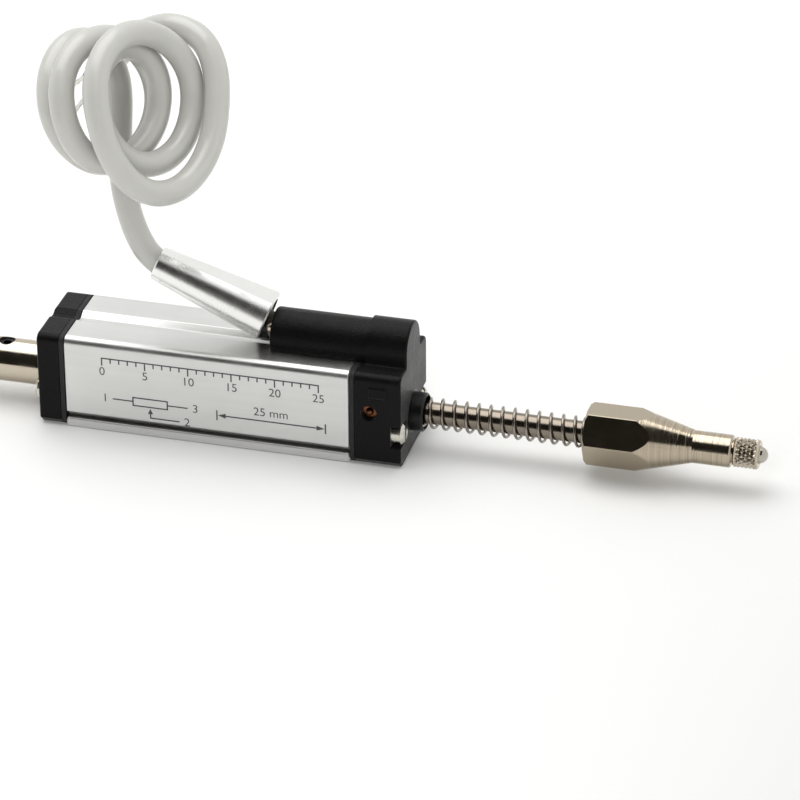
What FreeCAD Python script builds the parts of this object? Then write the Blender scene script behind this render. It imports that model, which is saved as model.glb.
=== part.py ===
import FreeCAD, Part
import math
import os

# Spring-return linear potentiometer, in millimetres.
# The origin is the centre of the housing's underside, +X runs along the rod to the contact ball, +Z is up.

V = FreeCAD.Vector
X_AXIS = V(1, 0, 0)
Y_AXIS = V(0, 1, 0)
FULL_TURN = 360.0

# Housing profile
section_width = 18.0
section_height = 18.0
profile_length = 52.8
edge_radius = 1.4
base_radius = 0.5
top_groove_floor = 1.0
top_groove_slope = 1.4
top_groove_depth = 0.75
groove_corner_radius = 0.35
clamp_groove_bottom = 1.9
clamp_groove_height = 1.1
clamp_groove_depth = 1.2
end_chamfer = 0.28

# Cavity of the profile: a wide chamber for the board over a narrow slot for the carriage
side_wall = 2.0
top_wall = 2.0
slot_half_width = 4.9
slot_floor = 3.4
shelf_height = 9.0
cavity_corner_radius = 0.5

# Rod and its travel
stroke = 25.0
rod_height = 7.1
rod_diameter = 4.0
running_clearance = 0.04
seat_clearance = 0.02
touch_gap = 0.05

# End caps, gaskets and cap screws
gasket_thickness = 0.8
front_cap_length = 8.5
rear_cap_length = 4.2
cap_bevel = 1.2
cap_edge_radius = 0.4
cap_seam = 0.18
screw_edge_distance = 2.4
screw_height = 6.2
screw_shank_diameter = 2.5
screw_depth_in_profile = 9.0
screw_head_diameter = 4.2
screw_head_length = 2.2
screw_head_proud = 0.3
rear_head_proud = 0.9
screw_head_clearance = 0.1
screw_head_round = 0.5
screw_slot_width = 0.7
screw_slot_depth = 0.9
screw_notch_radius = 2.2

# Connector block on the front cap
arch_half_width = 4.7
arch_rise = 6.7
arch_corner_radius = 4.6
arch_foot_radius = 0.6
arch_from_cap_rear = 1.1
wiring_depth = 6.3
wiring_half_width = 3.2
wiring_floor = 12.2
pad_from_cap_rear = 2.7
pad_length = 3.1
pad_bottom = 13.8
pad_height = 1.9
pad_proud = 0.3
pad_edge = 0.12
window_from_cap_rear = 2.7
window_height = 10.5
window_diameter = 3.0
window_depth = 1.6
lug_diameter = 2.7
lug_thickness = 0.5
lug_dome_radius = 0.7

# Bushes
nose_diameter = 7.0
nose_length = 2.4
nose_chamfer = 0.3
front_bush_diameter = 8.0
front_bush_tail_diameter = 6.6
front_bush_tail_length = 2.6
spring_pocket_diameter = 6.1
spring_pocket_depth = 7.0
rear_bush_diameter = 6.0
rear_bush_reach = 4.0

# Return spring
spring_wire = 0.54
spring_diameter = 5.7
spring_pitch = 2.2
spring_wire_sides = 6
spring_gap = 29.3

# Measuring element
board_thickness = 1.5
board_top_gap = 1.1
board_slot_depth = 0.4
board_clearance = 0.05
board_end_gap = 2.4
track_thickness = 0.1
track_width = 2.4
track_offset = 3.4
track_end_gap = 3.0

# Carriage
carrier_length = 9.0
carrier_side_clearance = 0.15
carrier_bottom = 4.0
carrier_top = 10.2
finger_sheet = 0.2
finger_width = 0.9
finger_spacing = 1.2
finger_base_inset = 1.0
finger_tip_length = 0.8
clip_thickness = 0.6
clip_diameter = 6.4
clip_groove_diameter = 3.2
clip_slot_width = 2.0

# Tip holder and contact point
hex_across_flats = 9.7
hex_turn = 34.5
hex_rear_chamfer = 0.5
hex_edge_radius = 0.2
hex_length = 8.9
cone_half_angle = 15.0
neck_diameter = 5.8
neck_length = 6.8
neck_chamfer = 0.25
rod_engagement = 7.5
stud_diameter = 2.4
stud_length = 5.0
stem_groove_diameter = 4.2
stem_groove_length = 0.3
knurl_diameter = 5.3
knurl_length = 4.55
knurl_chamfer = 0.3
ball_diameter = 3.0
ball_reach = 1.45
ball_lip = 0.2
ball_lip_base_radius = 1.7
ball_lip_radius = 1.6

# Stop sleeve at the rear
washer_thickness = 0.8
washer_diameter = 7.4
sleeve_diameter = 8.0
sleeve_length = 16.0
sleeve_chamfer = 0.4
sleeve_rod_recess = 1.0
cross_hole_diameter = 3.0
cross_hole_from_end = 8.0
set_screw_length = 1.4
set_screw_socket = 1.5
set_screw_socket_depth = 0.8

# Socket on the housing
hood_radius = 4.6
hood_centre_rise = 1.6
hood_length = 16.6
hood_edge_radius = 0.35
socket_rise = 2.9
socket_bore_diameter = 4.8
socket_insert_front = 3.2
contact_count = 4
contact_circle = 2.2
pin_diameter = 0.6
pin_reach = 2.4
contact_tail = 0.4
ribbon_thickness = 0.5
ribbon_width = 3.4

# Plug
plug_pitch = 21.3
plug_length = 21.95
plug_socket_radius = 4.6
plug_cable_radius = 3.1
plug_back_from_hood = 1.25
plug_rise = 4.52
plug_flat_depth = 0.6
plug_flat_end_depth = 0.2
plug_mouth_radius = 3.45
plug_mouth_depth = 6.0
plug_edge = 0.25
elbow_recess = 0.25
elbow_barrel_radius = 2.7
elbow_barrel_reach = 1.6
collar_diameter = 4.7
collar_wall = 0.35
collar_rear_inset = 1.8
collar_show = 1.0
collar_reach = 6.6
grommet_length = 2.0
grommet_recess = 1.0

# Cable: the lead's points, the coil's place and turn, and the tail's points in the coil's own directions
cable_diameter = 4.5
cable_bore_diameter = 5.2
lead_points = [(-9.9, 0.0, 29.9), (-12.4, 0.1, 31.4), (-14.8, 0.6, 34.9), (-16.7, 1.5, 39.4), (-18.0, 2.6, 44.4),
               (-18.4, 3.8, 49.2)]
coil_place = V(-9.2, -6.9, 66.6)
coil_heading = -26.0
coil_rise = 20.0
coil_lean = 21.8
coil_depth = 18.5
coil_back_radius = 10.6
coil_back_drop = 0.6
coil_back_shift = 0.6
coil_back_spread = 0.5
coil_front_radius = 13.4
coil_front_drop = 3.1
coil_front_shift = 2.2
coil_bevel = 1.5
tail_points = [(15.4, 5.6, 0.2), (14.6, 10.8, -2.2), (12.8, 13.4, -7.5), (11.8, 12.9, -13.5), (11.9, 11.0, -18.5),
               (12.6, 8.4, -23.0)]
bend_share = 0.45
core_diameter = 1.3
core_length = 9.0
core_circle = 1.5
core_splay = 9.0
core_gap = 0.15
ferrule_diameter = 0.9
ferrule_length = 5.0

# Places along X that several pieces share
profile_front = profile_length / 2
profile_rear = -profile_length / 2
front_cap_rear = profile_front + gasket_thickness
front_face = front_cap_rear + front_cap_length
rear_cap_front = profile_rear - gasket_thickness
rear_face = rear_cap_front - rear_cap_length
nose_end = front_face + nose_length
spring_seat = nose_end - spring_pocket_depth
hex_rear = nose_end + spring_gap
neck_rear = hex_rear + hex_length + (hex_across_flats / math.sqrt(3) - neck_diameter / 2) / math.tan(
    math.radians(cone_half_angle))
neck_end = neck_rear + neck_length
knurl_front = neck_end + stem_groove_length + knurl_length
sleeve_front = rear_face - touch_gap - washer_thickness
sleeve_rear = sleeve_front - sleeve_length
carrier_rear = (stroke - carrier_length) / 2
carrier_front = carrier_rear + carrier_length
hood_rear = front_cap_rear - hood_length
arch_rear = front_cap_rear + arch_from_cap_rear

# Heights and half widths that several pieces share
half_width = section_width / 2
rod_radius = rod_diameter / 2
screw_offset = half_width - screw_edge_distance
chamber_half_width = half_width - side_wall
chamber_top = section_height - top_wall
board_top = chamber_top - board_top_gap
board_underside = board_top - board_thickness
track_underside = board_underside - track_thickness
socket_height = section_height + socket_rise
pin_radius = pin_diameter / 2
cable_radius = cable_diameter / 2


def line(start, end):
    return Part.LineSegment(start, end).toShape()


def rounded_outline(corners):
    """Closed wire in the YZ plane through corners given as (y, z, radius)."""
    count = len(corners)
    arrivals, middles, departures = [], [], []
    for index in range(count):
        y, z, radius = corners[index]
        before = corners[index - 1]
        after = corners[(index + 1) % count]
        corner = V(0, y, z)
        to_before = V(0, before[0], before[1]).sub(corner).normalize()
        to_after = V(0, after[0], after[1]).sub(corner).normalize()
        half_angle = to_before.getAngle(to_after) / 2
        setback = radius / math.tan(half_angle)
        arrivals.append(corner + to_before * setback)
        departures.append(corner + to_after * setback)
        inward = (to_before + to_after).normalize() if radius else V(0, 0, 0)
        middles.append(corner + inward * (radius / math.sin(half_angle) - radius))
    edges = []
    for index in range(count):
        if corners[index][2]:
            edges.append(Part.Arc(arrivals[index], middles[index], departures[index]).toShape())
        edges.append(line(departures[index], arrivals[(index + 1) % count]))
    return Part.Wire(edges)


def extruded(corners, start, end):
    """Solid of the outline between two places along X."""
    face = Part.Face(rounded_outline(corners))
    face.translate(V(start, 0, 0))
    return face.extrude(V(end - start, 0, 0))


def mirrored(corners):
    """Whole outline from its +Y half, which is listed from the bottom up."""
    return corners + [(-y, z, radius) for y, z, radius in reversed(corners)]


def turned(profile, height):
    """Solid of revolution about a line along X, from points given as (x, radius)."""
    points = [V(x, 0, height + radius) for x, radius in profile]
    face = Part.Face(Part.makePolygon(points + points[:1]))
    return face.revolve(V(0, 0, height), X_AXIS, FULL_TURN)


def bar(start, end, radius, height, y=0.0):
    """Cylinder along X."""
    return Part.makeCylinder(radius, end - start, V(start, y, height), X_AXIS)


def block(x0, x1, y0, y1, z0, z1):
    return Part.makeBox(x1 - x0, y1 - y0, z1 - z0, V(x0, y0, z0))


def edges_at(shape, x):
    """Edges that lie wholly in the plane at x."""
    found = []
    for edge in shape.Edges:
        box = edge.BoundBox
        if abs(box.XMin - x) < 1e-6 and abs(box.XMax - x) < 1e-6:
            found.append(edge)
    return found


def bent_path(points):
    """Straight runs joined by tangent arcs, each as large as its two runs allow, and the arcs' radii."""
    edges, radii = [], []
    start = points[0]
    for index in range(1, len(points) - 1):
        corner = points[index]
        to_before = points[index - 1].sub(corner)
        to_after = points[index + 1].sub(corner)
        setback = bend_share * min(to_before.Length, to_after.Length)
        to_before.normalize()
        to_after.normalize()
        half_angle = to_before.getAngle(to_after) / 2
        radius = setback * math.tan(half_angle)
        inward = (to_before + to_after).normalize()
        middle = corner + inward * (radius / math.sin(half_angle) - radius)
        arrive = corner + to_before * setback
        leave = corner + to_after * setback
        edges.append(line(start, arrive))
        edges.append(Part.Arc(arrive, middle, leave).toShape())
        radii.append(radius)
        start = leave
    edges.append(line(start, points[-1]))
    return Part.Wire(edges), radii


def tube(points, diameter):
    """Round tube along the bent path."""
    path, radii = bent_path(points)
    circle = Part.makeCircle(diameter / 2, points[0], points[1].sub(points[0]))
    solid = path.makePipe(Part.Face(Part.Wire(circle)))
    return solid, path.Length, radii


def many_sided(centre, across, heading, diameter, sides):
    """Closed wire of a regular section with the area of a round one."""
    beside = heading.cross(across).normalize()
    step = 2 * math.pi / sides
    reach = diameter / 2 * math.sqrt(2 * math.pi / (sides * math.sin(step)))
    points = [centre + across * (reach * math.cos(step * index)) + beside * (reach * math.sin(step * index))
              for index in range(sides)]
    return Part.makePolygon(points + points[:1])


def largest(shape):
    return max(shape.Solids, key=lambda solid: solid.Volume)


def outer_corners(with_clamp_groove, base):
    """+Y half of the section's outline, with a rounded or bevelled base."""
    groove_half = top_groove_floor / 2
    groove_floor = section_height - top_groove_depth
    clamp_top = clamp_groove_bottom + clamp_groove_height
    clamp_depth = half_width - clamp_groove_depth
    clamp = [(half_width, clamp_groove_bottom, groove_corner_radius), (clamp_depth, clamp_groove_bottom, 0),
             (clamp_depth, clamp_top, 0), (half_width, clamp_top, groove_corner_radius)]
    top = [(half_width, section_height, edge_radius),
           (groove_half + top_groove_slope, section_height, groove_corner_radius),
           (groove_half, groove_floor, groove_corner_radius)]
    return base + (clamp if with_clamp_groove else []) + top


def bevelled_base():
    return [(half_width - cap_bevel, 0, 0), (half_width, cap_bevel, 0)]


def cavity_corners(slot_play):
    """+Y half of the cavity's outline; the play opens the board's slots."""
    slot_side = chamber_half_width + board_slot_depth
    low = board_underside - slot_play
    high = board_top + slot_play
    return [(slot_half_width, slot_floor, cavity_corner_radius), (slot_half_width, shelf_height, 0),
            (chamber_half_width, shelf_height, cavity_corner_radius), (chamber_half_width, low, 0),
            (slot_side, low, 0), (slot_side, high, 0), (chamber_half_width, high, 0),
            (chamber_half_width, chamber_top, cavity_corner_radius)]


def screw_bars(start, end, radius):
    return [bar(start, end, radius, screw_height, side * screw_offset) for side in (-1, 1)]


def make_housing_profile():
    outline = mirrored(outer_corners(True, [(half_width, 0, base_radius)]))
    body = extruded(outline, profile_rear, profile_front)
    body = body.makeChamfer(end_chamfer, edges_at(body, profile_rear) + edges_at(body, profile_front))
    cavity = extruded(mirrored(cavity_corners(board_clearance)), profile_rear, profile_front)
    channels = screw_bars(profile_rear, profile_front, screw_shank_diameter / 2 + touch_gap)
    return body.cut(cavity).cut(channels)


def make_gasket(start, end):
    plate = extruded(mirrored(outer_corners(False, bevelled_base())), start, end)
    opening = extruded(mirrored(cavity_corners(board_clearance)), start, end)
    return plate.cut(opening).cut(screw_bars(start, end, screw_shank_diameter / 2 + touch_gap))


def screw_notch(seat, end, side):
    """Pocket for a screw head, open to the cap's outer face and to its side."""
    low, high = min(seat, end), max(seat, end)
    round_end = bar(low, high, screw_notch_radius, screw_height, side * screw_offset)
    y0, y1 = sorted((side * screw_offset, side * (half_width + cap_edge_radius)))
    return round_end.fuse(block(low, high, y0, y1, screw_height - screw_notch_radius,
                                screw_height + screw_notch_radius))


def screw_holes(low, high):
    return screw_bars(low, high, screw_shank_diameter / 2 + touch_gap)


def make_pad(side):
    """Raised pad on a side of the front cap."""
    start = front_cap_rear + pad_from_cap_rear
    outer = side * (half_width + pad_proud)
    y0, y1 = sorted((side * (half_width - pad_proud), outer))
    pad = block(start, start + pad_length, y0, y1, pad_bottom, pad_bottom + pad_height)
    rim = [edge for edge in pad.Edges if abs(edge.BoundBox.YMin - outer) + abs(edge.BoundBox.YMax - outer) < 1e-5]
    return pad.makeChamfer(pad_edge, rim)


def make_front_cap():
    arch_top = section_height + arch_rise
    outline = bevelled_base() + [(half_width, section_height, edge_radius),
                                 (arch_half_width, section_height, arch_foot_radius),
                                 (arch_half_width, arch_top, arch_corner_radius)]
    cap = extruded(mirrored(outline), front_cap_rear, front_face)
    cap = cap.makeFillet(cap_edge_radius, edges_at(cap, front_face))
    cap = cap.cut(block(front_cap_rear, arch_rear, -half_width, half_width, section_height, arch_top))
    cap = cap.makeChamfer(cap_seam, edges_at(cap, front_cap_rear))
    cap = cap.fuse([make_pad(side) for side in (-1, 1)]).removeSplitter()
    seat = front_face - screw_head_length + screw_head_proud
    wiring_end = front_cap_rear + wiring_depth
    cuts = [bar(front_cap_rear, front_face, front_bush_diameter / 2 + seat_clearance, rod_height),
            block(front_cap_rear, wiring_end, -wiring_half_width, wiring_half_width, wiring_floor, socket_height),
            bar(front_cap_rear, wiring_end, wiring_half_width, socket_height),
            Part.makeCylinder(window_diameter / 2, window_depth,
                              V(front_cap_rear + window_from_cap_rear, -half_width, window_height), Y_AXIS)]
    cuts += [screw_notch(seat, front_face, side) for side in (-1, 1)]
    return cap.cut(cuts).cut(screw_holes(front_cap_rear, front_face))


def make_rear_cap():
    outline = bevelled_base() + [(half_width, section_height, edge_radius)]
    cap = extruded(mirrored(outline), rear_face, rear_cap_front)
    cap = cap.makeFillet(cap_edge_radius, edges_at(cap, rear_face))
    cap = cap.makeChamfer(cap_seam, edges_at(cap, rear_cap_front))
    seat = rear_face + screw_head_length - rear_head_proud
    groove_half = top_groove_floor / 2
    groove = mirrored([(groove_half, section_height - top_groove_depth, 0),
                       (groove_half + top_groove_slope, section_height, 0)])
    cuts = [bar(rear_face, rear_cap_front, rear_bush_diameter / 2 + seat_clearance, rod_height),
            extruded(groove, rear_face, rear_cap_front)]
    cuts += screw_bars(rear_face, seat, screw_head_diameter / 2 + screw_head_clearance)
    return cap.cut(cuts).cut(screw_holes(rear_face, rear_cap_front))


def make_screws(seat, direction):
    """Two slotted cheese-head screws whose heads point along direction."""
    top = seat + direction * screw_head_length
    foot = seat - direction * screw_reach(direction)
    radius = screw_head_diameter / 2
    screws = []
    for side in (-1, 1):
        head = turned([(seat, 0), (seat, radius), (top - direction * screw_head_round, radius),
                       (top, radius - screw_head_round), (top, 0)], 0)
        slot = block(min(top, top - direction * screw_slot_depth), max(top, top - direction * screw_slot_depth),
                     -screw_slot_width / 2, screw_slot_width / 2, -radius, radius)
        shank = bar(min(foot, seat), max(foot, seat), screw_shank_diameter / 2, 0)
        screw = head.cut(slot).fuse(shank).removeSplitter()
        screw.translate(V(0, side * screw_offset, screw_height))
        screws.append(screw)
    return Part.makeCompound(screws)


def screw_reach(direction):
    """Length of a screw's shank under its head."""
    cap_length = front_cap_length if direction > 0 else rear_cap_length
    proud = screw_head_proud if direction > 0 else rear_head_proud
    return cap_length - screw_head_length + proud + gasket_thickness + screw_depth_in_profile


def make_front_bush():
    tail = front_cap_rear - front_bush_tail_length
    nose = nose_diameter / 2
    pocket = spring_pocket_diameter / 2
    bore = rod_radius + running_clearance
    return turned([(tail, bore), (tail, front_bush_tail_diameter / 2), (front_cap_rear, front_bush_tail_diameter / 2),
                   (front_cap_rear, front_bush_diameter / 2), (front_face, front_bush_diameter / 2),
                   (front_face, nose), (nose_end - nose_chamfer, nose), (nose_end, nose - nose_chamfer),
                   (nose_end, pocket), (spring_seat, pocket), (spring_seat, bore)], rod_height)


def make_rear_bush():
    end = profile_rear + rear_bush_reach
    bore = rod_radius + running_clearance
    return turned([(rear_face, bore), (rear_face, rear_bush_diameter / 2), (end, rear_bush_diameter / 2),
                   (end, bore)], rod_height)


def make_return_spring():
    """Helix from the bush's pocket to the hexagon's rear face."""
    length = hex_rear - spring_seat - 2 * touch_gap
    radius = (spring_diameter - spring_wire) / 2
    helix = Part.makeHelix(spring_pitch, length - spring_wire, radius)
    start = V(radius, 0, 0)
    rise = V(0, 2 * math.pi * radius, spring_pitch)
    section = many_sided(start, X_AXIS, rise, spring_wire, spring_wire_sides)
    spring = Part.Wire(helix).makePipeShell([section], True, True)
    spring.rotate(V(0, 0, 0), Y_AXIS, 90)
    spring.translate(V(spring_seat + touch_gap + spring_wire / 2, 0, rod_height))
    return spring


def make_board():
    half = chamber_half_width + board_slot_depth - board_clearance
    return block(profile_rear + board_end_gap, profile_front - board_end_gap, -half, half, board_underside, board_top)


def make_track(side):
    inset = board_end_gap + track_end_gap
    y0, y1 = side * track_offset - track_width / 2, side * track_offset + track_width / 2
    return block(profile_rear + inset, profile_front - inset, y0, y1, track_underside, board_underside)


def make_wiper_carrier():
    half = slot_half_width - carrier_side_clearance
    body = block(carrier_rear, carrier_front, -half, half, carrier_bottom, carrier_top)
    low_edges = [edge for edge in body.Edges if edge.BoundBox.ZMax < carrier_bottom + 1e-6
                 and edge.BoundBox.XLength > carrier_length / 2]
    body = body.makeFillet(cavity_corner_radius, low_edges)
    return body.cut(bar(carrier_rear, carrier_front, rod_radius + running_clearance, rod_height))


def make_wiper_fingers():
    """Spring sheet on the carrier, with two rising fingers under each track."""
    base_top = carrier_top + finger_sheet
    tip_top = track_underside - touch_gap
    start = carrier_rear + finger_base_inset
    end = carrier_front - finger_base_inset
    half = track_offset + finger_spacing / 2 + finger_width / 2
    sheet = block(start, end, -half, half, carrier_top, base_top)
    rise = [V(start, 0, base_top), V(end - finger_tip_length, 0, tip_top), V(end, 0, tip_top - 2 * finger_sheet),
            V(end, 0, tip_top - 3 * finger_sheet), V(end - finger_tip_length, 0, tip_top - finger_sheet),
            V(start + 2 * finger_sheet, 0, base_top)]
    face = Part.Face(Part.makePolygon(rise + rise[:1]))
    for side in (-1, 1):
        for step in (-0.5, 0.5):
            finger = face.extrude(V(0, finger_width, 0))
            finger.translate(V(0, side * track_offset + step * finger_spacing - finger_width / 2, 0))
            sheet = sheet.fuse(finger)
    return sheet.removeSplitter()


def clip_spans():
    rear_end = carrier_rear - touch_gap
    front_start = carrier_front + touch_gap
    return [(rear_end - clip_thickness, rear_end), (front_start, front_start + clip_thickness)]


def make_carrier_clips():
    clips = []
    for start, end in clip_spans():
        inner = clip_groove_diameter / 2 + seat_clearance
        clip = bar(start, end, clip_diameter / 2, rod_height).cut(bar(start, end, inner, rod_height))
        mouth = block(start, end, -clip_slot_width / 2, clip_slot_width / 2, rod_height - clip_diameter, rod_height)
        clips.append(clip.cut(mouth))
    return Part.makeCompound(clips)


def make_rod():
    rod = bar(sleeve_rear + sleeve_rod_recess, hex_rear + rod_engagement, rod_radius, rod_height)
    for start, end in clip_spans():
        groove = bar(start - seat_clearance, end + seat_clearance, rod_diameter, rod_height)
        core = bar(start - seat_clearance, end + seat_clearance, clip_groove_diameter / 2, rod_height)
        rod = rod.cut(groove.cut(core))
    return rod


def make_tip_holder():
    corner_radius = hex_across_flats / math.sqrt(3)
    hexagon = []
    for index in range(6):
        angle = math.radians(hex_turn + 30 + 60 * index)
        hexagon.append((-corner_radius * math.cos(angle), rod_height + corner_radius * math.sin(angle),
                        hex_edge_radius))
    prism = extruded(hexagon, hex_rear, neck_end)
    neck = neck_diameter / 2
    cone_start = hex_rear + hex_length
    turned_form = turned([(hex_rear, 0), (hex_rear, corner_radius - hex_rear_chamfer),
                          (hex_rear + hex_rear_chamfer, corner_radius), (cone_start, corner_radius),
                          (neck_rear, neck), (neck_end - neck_chamfer, neck), (neck_end, neck - neck_chamfer),
                          (neck_end, 0)], rod_height)
    holder = prism.common(turned_form)
    rod_bore = bar(hex_rear, hex_rear + rod_engagement + touch_gap, rod_radius + seat_clearance, rod_height)
    stud_bore = bar(neck_end - stud_length - touch_gap, neck_end, stud_diameter / 2 + seat_clearance, rod_height)
    return holder.cut([rod_bore, stud_bore])


def ball(radius):
    return Part.makeSphere(radius, V(knurl_front + ball_reach - ball_diameter / 2, 0, rod_height))


def make_contact_stem():
    grip_rear = neck_end + stem_groove_length
    stud = stud_diameter / 2
    knurl = knurl_diameter / 2
    groove = stem_groove_diameter / 2
    stem = turned([(neck_end - stud_length, 0), (neck_end - stud_length, stud), (neck_end, stud), (neck_end, groove),
                   (grip_rear, groove), (grip_rear, knurl - knurl_chamfer), (grip_rear + knurl_chamfer, knurl),
                   (knurl_front - knurl_chamfer, knurl), (knurl_front, knurl - knurl_chamfer),
                   (knurl_front, ball_lip_base_radius), (knurl_front + ball_lip, ball_lip_radius),
                   (knurl_front + ball_lip, 0)], rod_height)
    return stem.cut(ball(ball_diameter / 2 + seat_clearance))


def make_stop_sleeve():
    radius = sleeve_diameter / 2
    bore = rod_radius + seat_clearance
    sleeve = turned([(sleeve_rear, bore), (sleeve_rear, radius - sleeve_chamfer), (sleeve_rear + sleeve_chamfer, radius),
                     (sleeve_front - sleeve_chamfer, radius), (sleeve_front, radius - sleeve_chamfer),
                     (sleeve_front, bore)], rod_height)
    hole = Part.makeCylinder(cross_hole_diameter / 2, sleeve_diameter, V(sleeve_rear + cross_hole_from_end, 0, rod_height))
    return sleeve.cut(hole)


def make_sleeve_screw():
    base = V(sleeve_rear + cross_hole_from_end, 0, rod_height + rod_radius + touch_gap)
    screw = Part.makeCylinder(cross_hole_diameter / 2 - touch_gap, set_screw_length, base)
    reach = set_screw_socket / math.sqrt(3)
    floor = base.z + set_screw_length - set_screw_socket_depth
    points = [V(base.x + reach * math.cos(math.radians(60 * step)), reach * math.sin(math.radians(60 * step)), floor)
              for step in range(6)]
    socket = Part.Face(Part.makePolygon(points + points[:1])).extrude(V(0, 0, set_screw_socket_depth))
    return screw.cut(socket)


def make_stop_washer():
    bore = rod_radius + seat_clearance
    return turned([(sleeve_front, bore), (sleeve_front, washer_diameter / 2),
                   (sleeve_front + washer_thickness, washer_diameter / 2), (sleeve_front + washer_thickness, bore)],
                  rod_height)


def make_socket_hood():
    centre = section_height + hood_centre_rise
    hood = bar(hood_rear, arch_rear, hood_radius, centre)
    hood = hood.makeFillet(hood_edge_radius, edges_at(hood, hood_rear))
    under = block(hood_rear, arch_rear, -hood_radius, hood_radius, section_height - 2 * hood_radius, section_height)
    return hood.cut(under).cut(bar(hood_rear, arch_rear, socket_bore_diameter / 2, socket_height))


def contact_bars(start, end, radius):
    bars = []
    for index in range(contact_count):
        angle = math.radians(FULL_TURN * (index + 0.5) / contact_count)
        y = contact_circle / 2 * math.cos(angle)
        bars.append(bar(start, end, radius, socket_height + contact_circle / 2 * math.sin(angle), y))
    return bars


def collar_span():
    return hood_rear - collar_rear_inset, hood_rear + collar_reach


def insert_joint():
    """Where the plug's insert ends and the socket's core begins, inside the collar."""
    return hood_rear + collar_reach - pin_reach - touch_gap


def make_socket_insert():
    base_start = hood_rear + collar_reach + touch_gap
    base_end = front_cap_rear - socket_insert_front
    core_radius = collar_diameter / 2 - collar_wall - touch_gap
    core = bar(insert_joint() + touch_gap, base_start, core_radius, socket_height)
    base = bar(base_start, base_end, socket_bore_diameter / 2 - touch_gap, socket_height)
    return core.fuse(base).removeSplitter().cut(contact_bars(insert_joint(), base_end, pin_radius + touch_gap))


def make_socket_contacts():
    start = insert_joint() + pin_reach + 2 * touch_gap
    return Part.makeCompound(contact_bars(start, front_cap_rear + contact_tail, pin_radius))


def make_plug_collar():
    start, end = collar_span()
    return turned([(start, collar_diameter / 2 - collar_wall), (start, collar_diameter / 2),
                   (end, collar_diameter / 2), (end, collar_diameter / 2 - collar_wall)], socket_height)


def make_plug_insert():
    start = collar_span()[0]
    core = bar(start, insert_joint(), collar_diameter / 2 - collar_wall - touch_gap, socket_height)
    return core.cut(contact_bars(start, insert_joint(), pin_radius + touch_gap))


def make_plug_pins():
    return Part.makeCompound(contact_bars(collar_span()[0], insert_joint() + pin_reach, pin_radius))


def placed_on_plug(shape):
    """Turns a shape made along -X from the origin into the plug's own direction and place."""
    shape.rotate(V(0, 0, 0), Y_AXIS, plug_pitch)
    shape.translate(V(hood_rear - plug_back_from_hood, 0, section_height + plug_rise))
    return shape


def make_plug_shell():
    bore = cable_bore_diameter / 2
    shell = turned([(0, plug_mouth_radius), (0, plug_socket_radius - plug_edge), (-plug_edge, plug_socket_radius),
                    (-plug_length + plug_edge, plug_cable_radius), (-plug_length, plug_cable_radius - plug_edge),
                    (-plug_length, bore), (-plug_mouth_depth, bore), (-plug_mouth_depth, plug_mouth_radius)], 0)
    flat_height = plug_socket_radius - plug_flat_depth
    flat_end_height = plug_cable_radius - plug_flat_end_depth
    taper = math.degrees(math.atan2(flat_height - flat_end_height, plug_length))
    flat = block(-2 * plug_length, plug_length, -plug_socket_radius, plug_socket_radius, 0, plug_socket_radius)
    flat.rotate(V(0, 0, 0), Y_AXIS, -taper)
    flat.translate(V(0, 0, flat_height))
    return placed_on_plug(shell.cut(flat))


def make_plug_elbow(shell):
    seat = bar(-plug_mouth_depth + touch_gap, -elbow_recess, plug_mouth_radius - touch_gap, 0)
    seat = placed_on_plug(seat)
    start = collar_span()[0]
    barrel = bar(start - elbow_barrel_reach, hood_rear - collar_show, elbow_barrel_radius, socket_height)
    whole = seat.fuse(barrel).removeSplitter()
    core = bar(start, hood_rear, collar_diameter / 2 + seat_clearance, socket_height)
    return largest(whole.cut(shell).cut(core))


def make_plug_grommet():
    end = -plug_length + grommet_recess
    return placed_on_plug(bar(end, end + grommet_length, cable_bore_diameter / 2 - touch_gap, 0))


def coil_directions():
    """Across, up and along the coil's axis, which points to the front turn."""
    heading, rise, lean = (math.radians(angle) for angle in (coil_heading, coil_rise, coil_lean))
    along = V(math.cos(rise) * math.cos(heading), math.cos(rise) * math.sin(heading), math.sin(rise))
    level = V(-math.sin(heading), math.cos(heading), 0)
    steep = along.cross(level)
    up = steep * math.cos(lean) + level * math.sin(lean)
    across = level * math.cos(lean) - steep * math.sin(lean)
    return across, up, along


def on_coil(point):
    across, up, along = coil_directions()
    return coil_place + across * point[0] + up * point[1] + along * point[2]


def coil_ring(mean_radius, spread, centre, depth):
    """Ring with bevelled edges, of the outer shape of several turns."""
    along = coil_directions()[2]
    outer = mean_radius + cable_radius + spread
    inner = mean_radius - cable_radius - spread
    base = on_coil(centre)
    ring = Part.makeCylinder(outer, depth, base, along).cut(Part.makeCylinder(inner, depth, base, along))
    rims = [edge for edge in ring.Edges if edge.Closed and edge.Length > inner]
    return ring.makeChamfer(coil_bevel, rims)


def make_cable_coil():
    back = coil_ring(coil_back_radius, coil_back_spread,
                     (coil_back_shift, -coil_back_drop, -coil_depth - cable_radius), coil_depth)
    front = coil_ring(coil_front_radius, 0, (coil_front_shift, -coil_front_drop, -cable_diameter), 1.5 * cable_diameter)
    return back.fuse(front).removeSplitter()


def make_cable_run(points, away):
    """Tube of the cable, trimmed where it meets the pieces it comes out of."""
    solid, length, radii = tube(points, cable_diameter)
    expected = math.pi * cable_radius ** 2 * length
    print("cable run", round(length, 1), "radii", [round(radius, 1) for radius in radii],
          "volume share", round(solid.Volume / expected, 4))
    for piece in away:
        solid = solid.cut(piece)
    return largest(solid)


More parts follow.
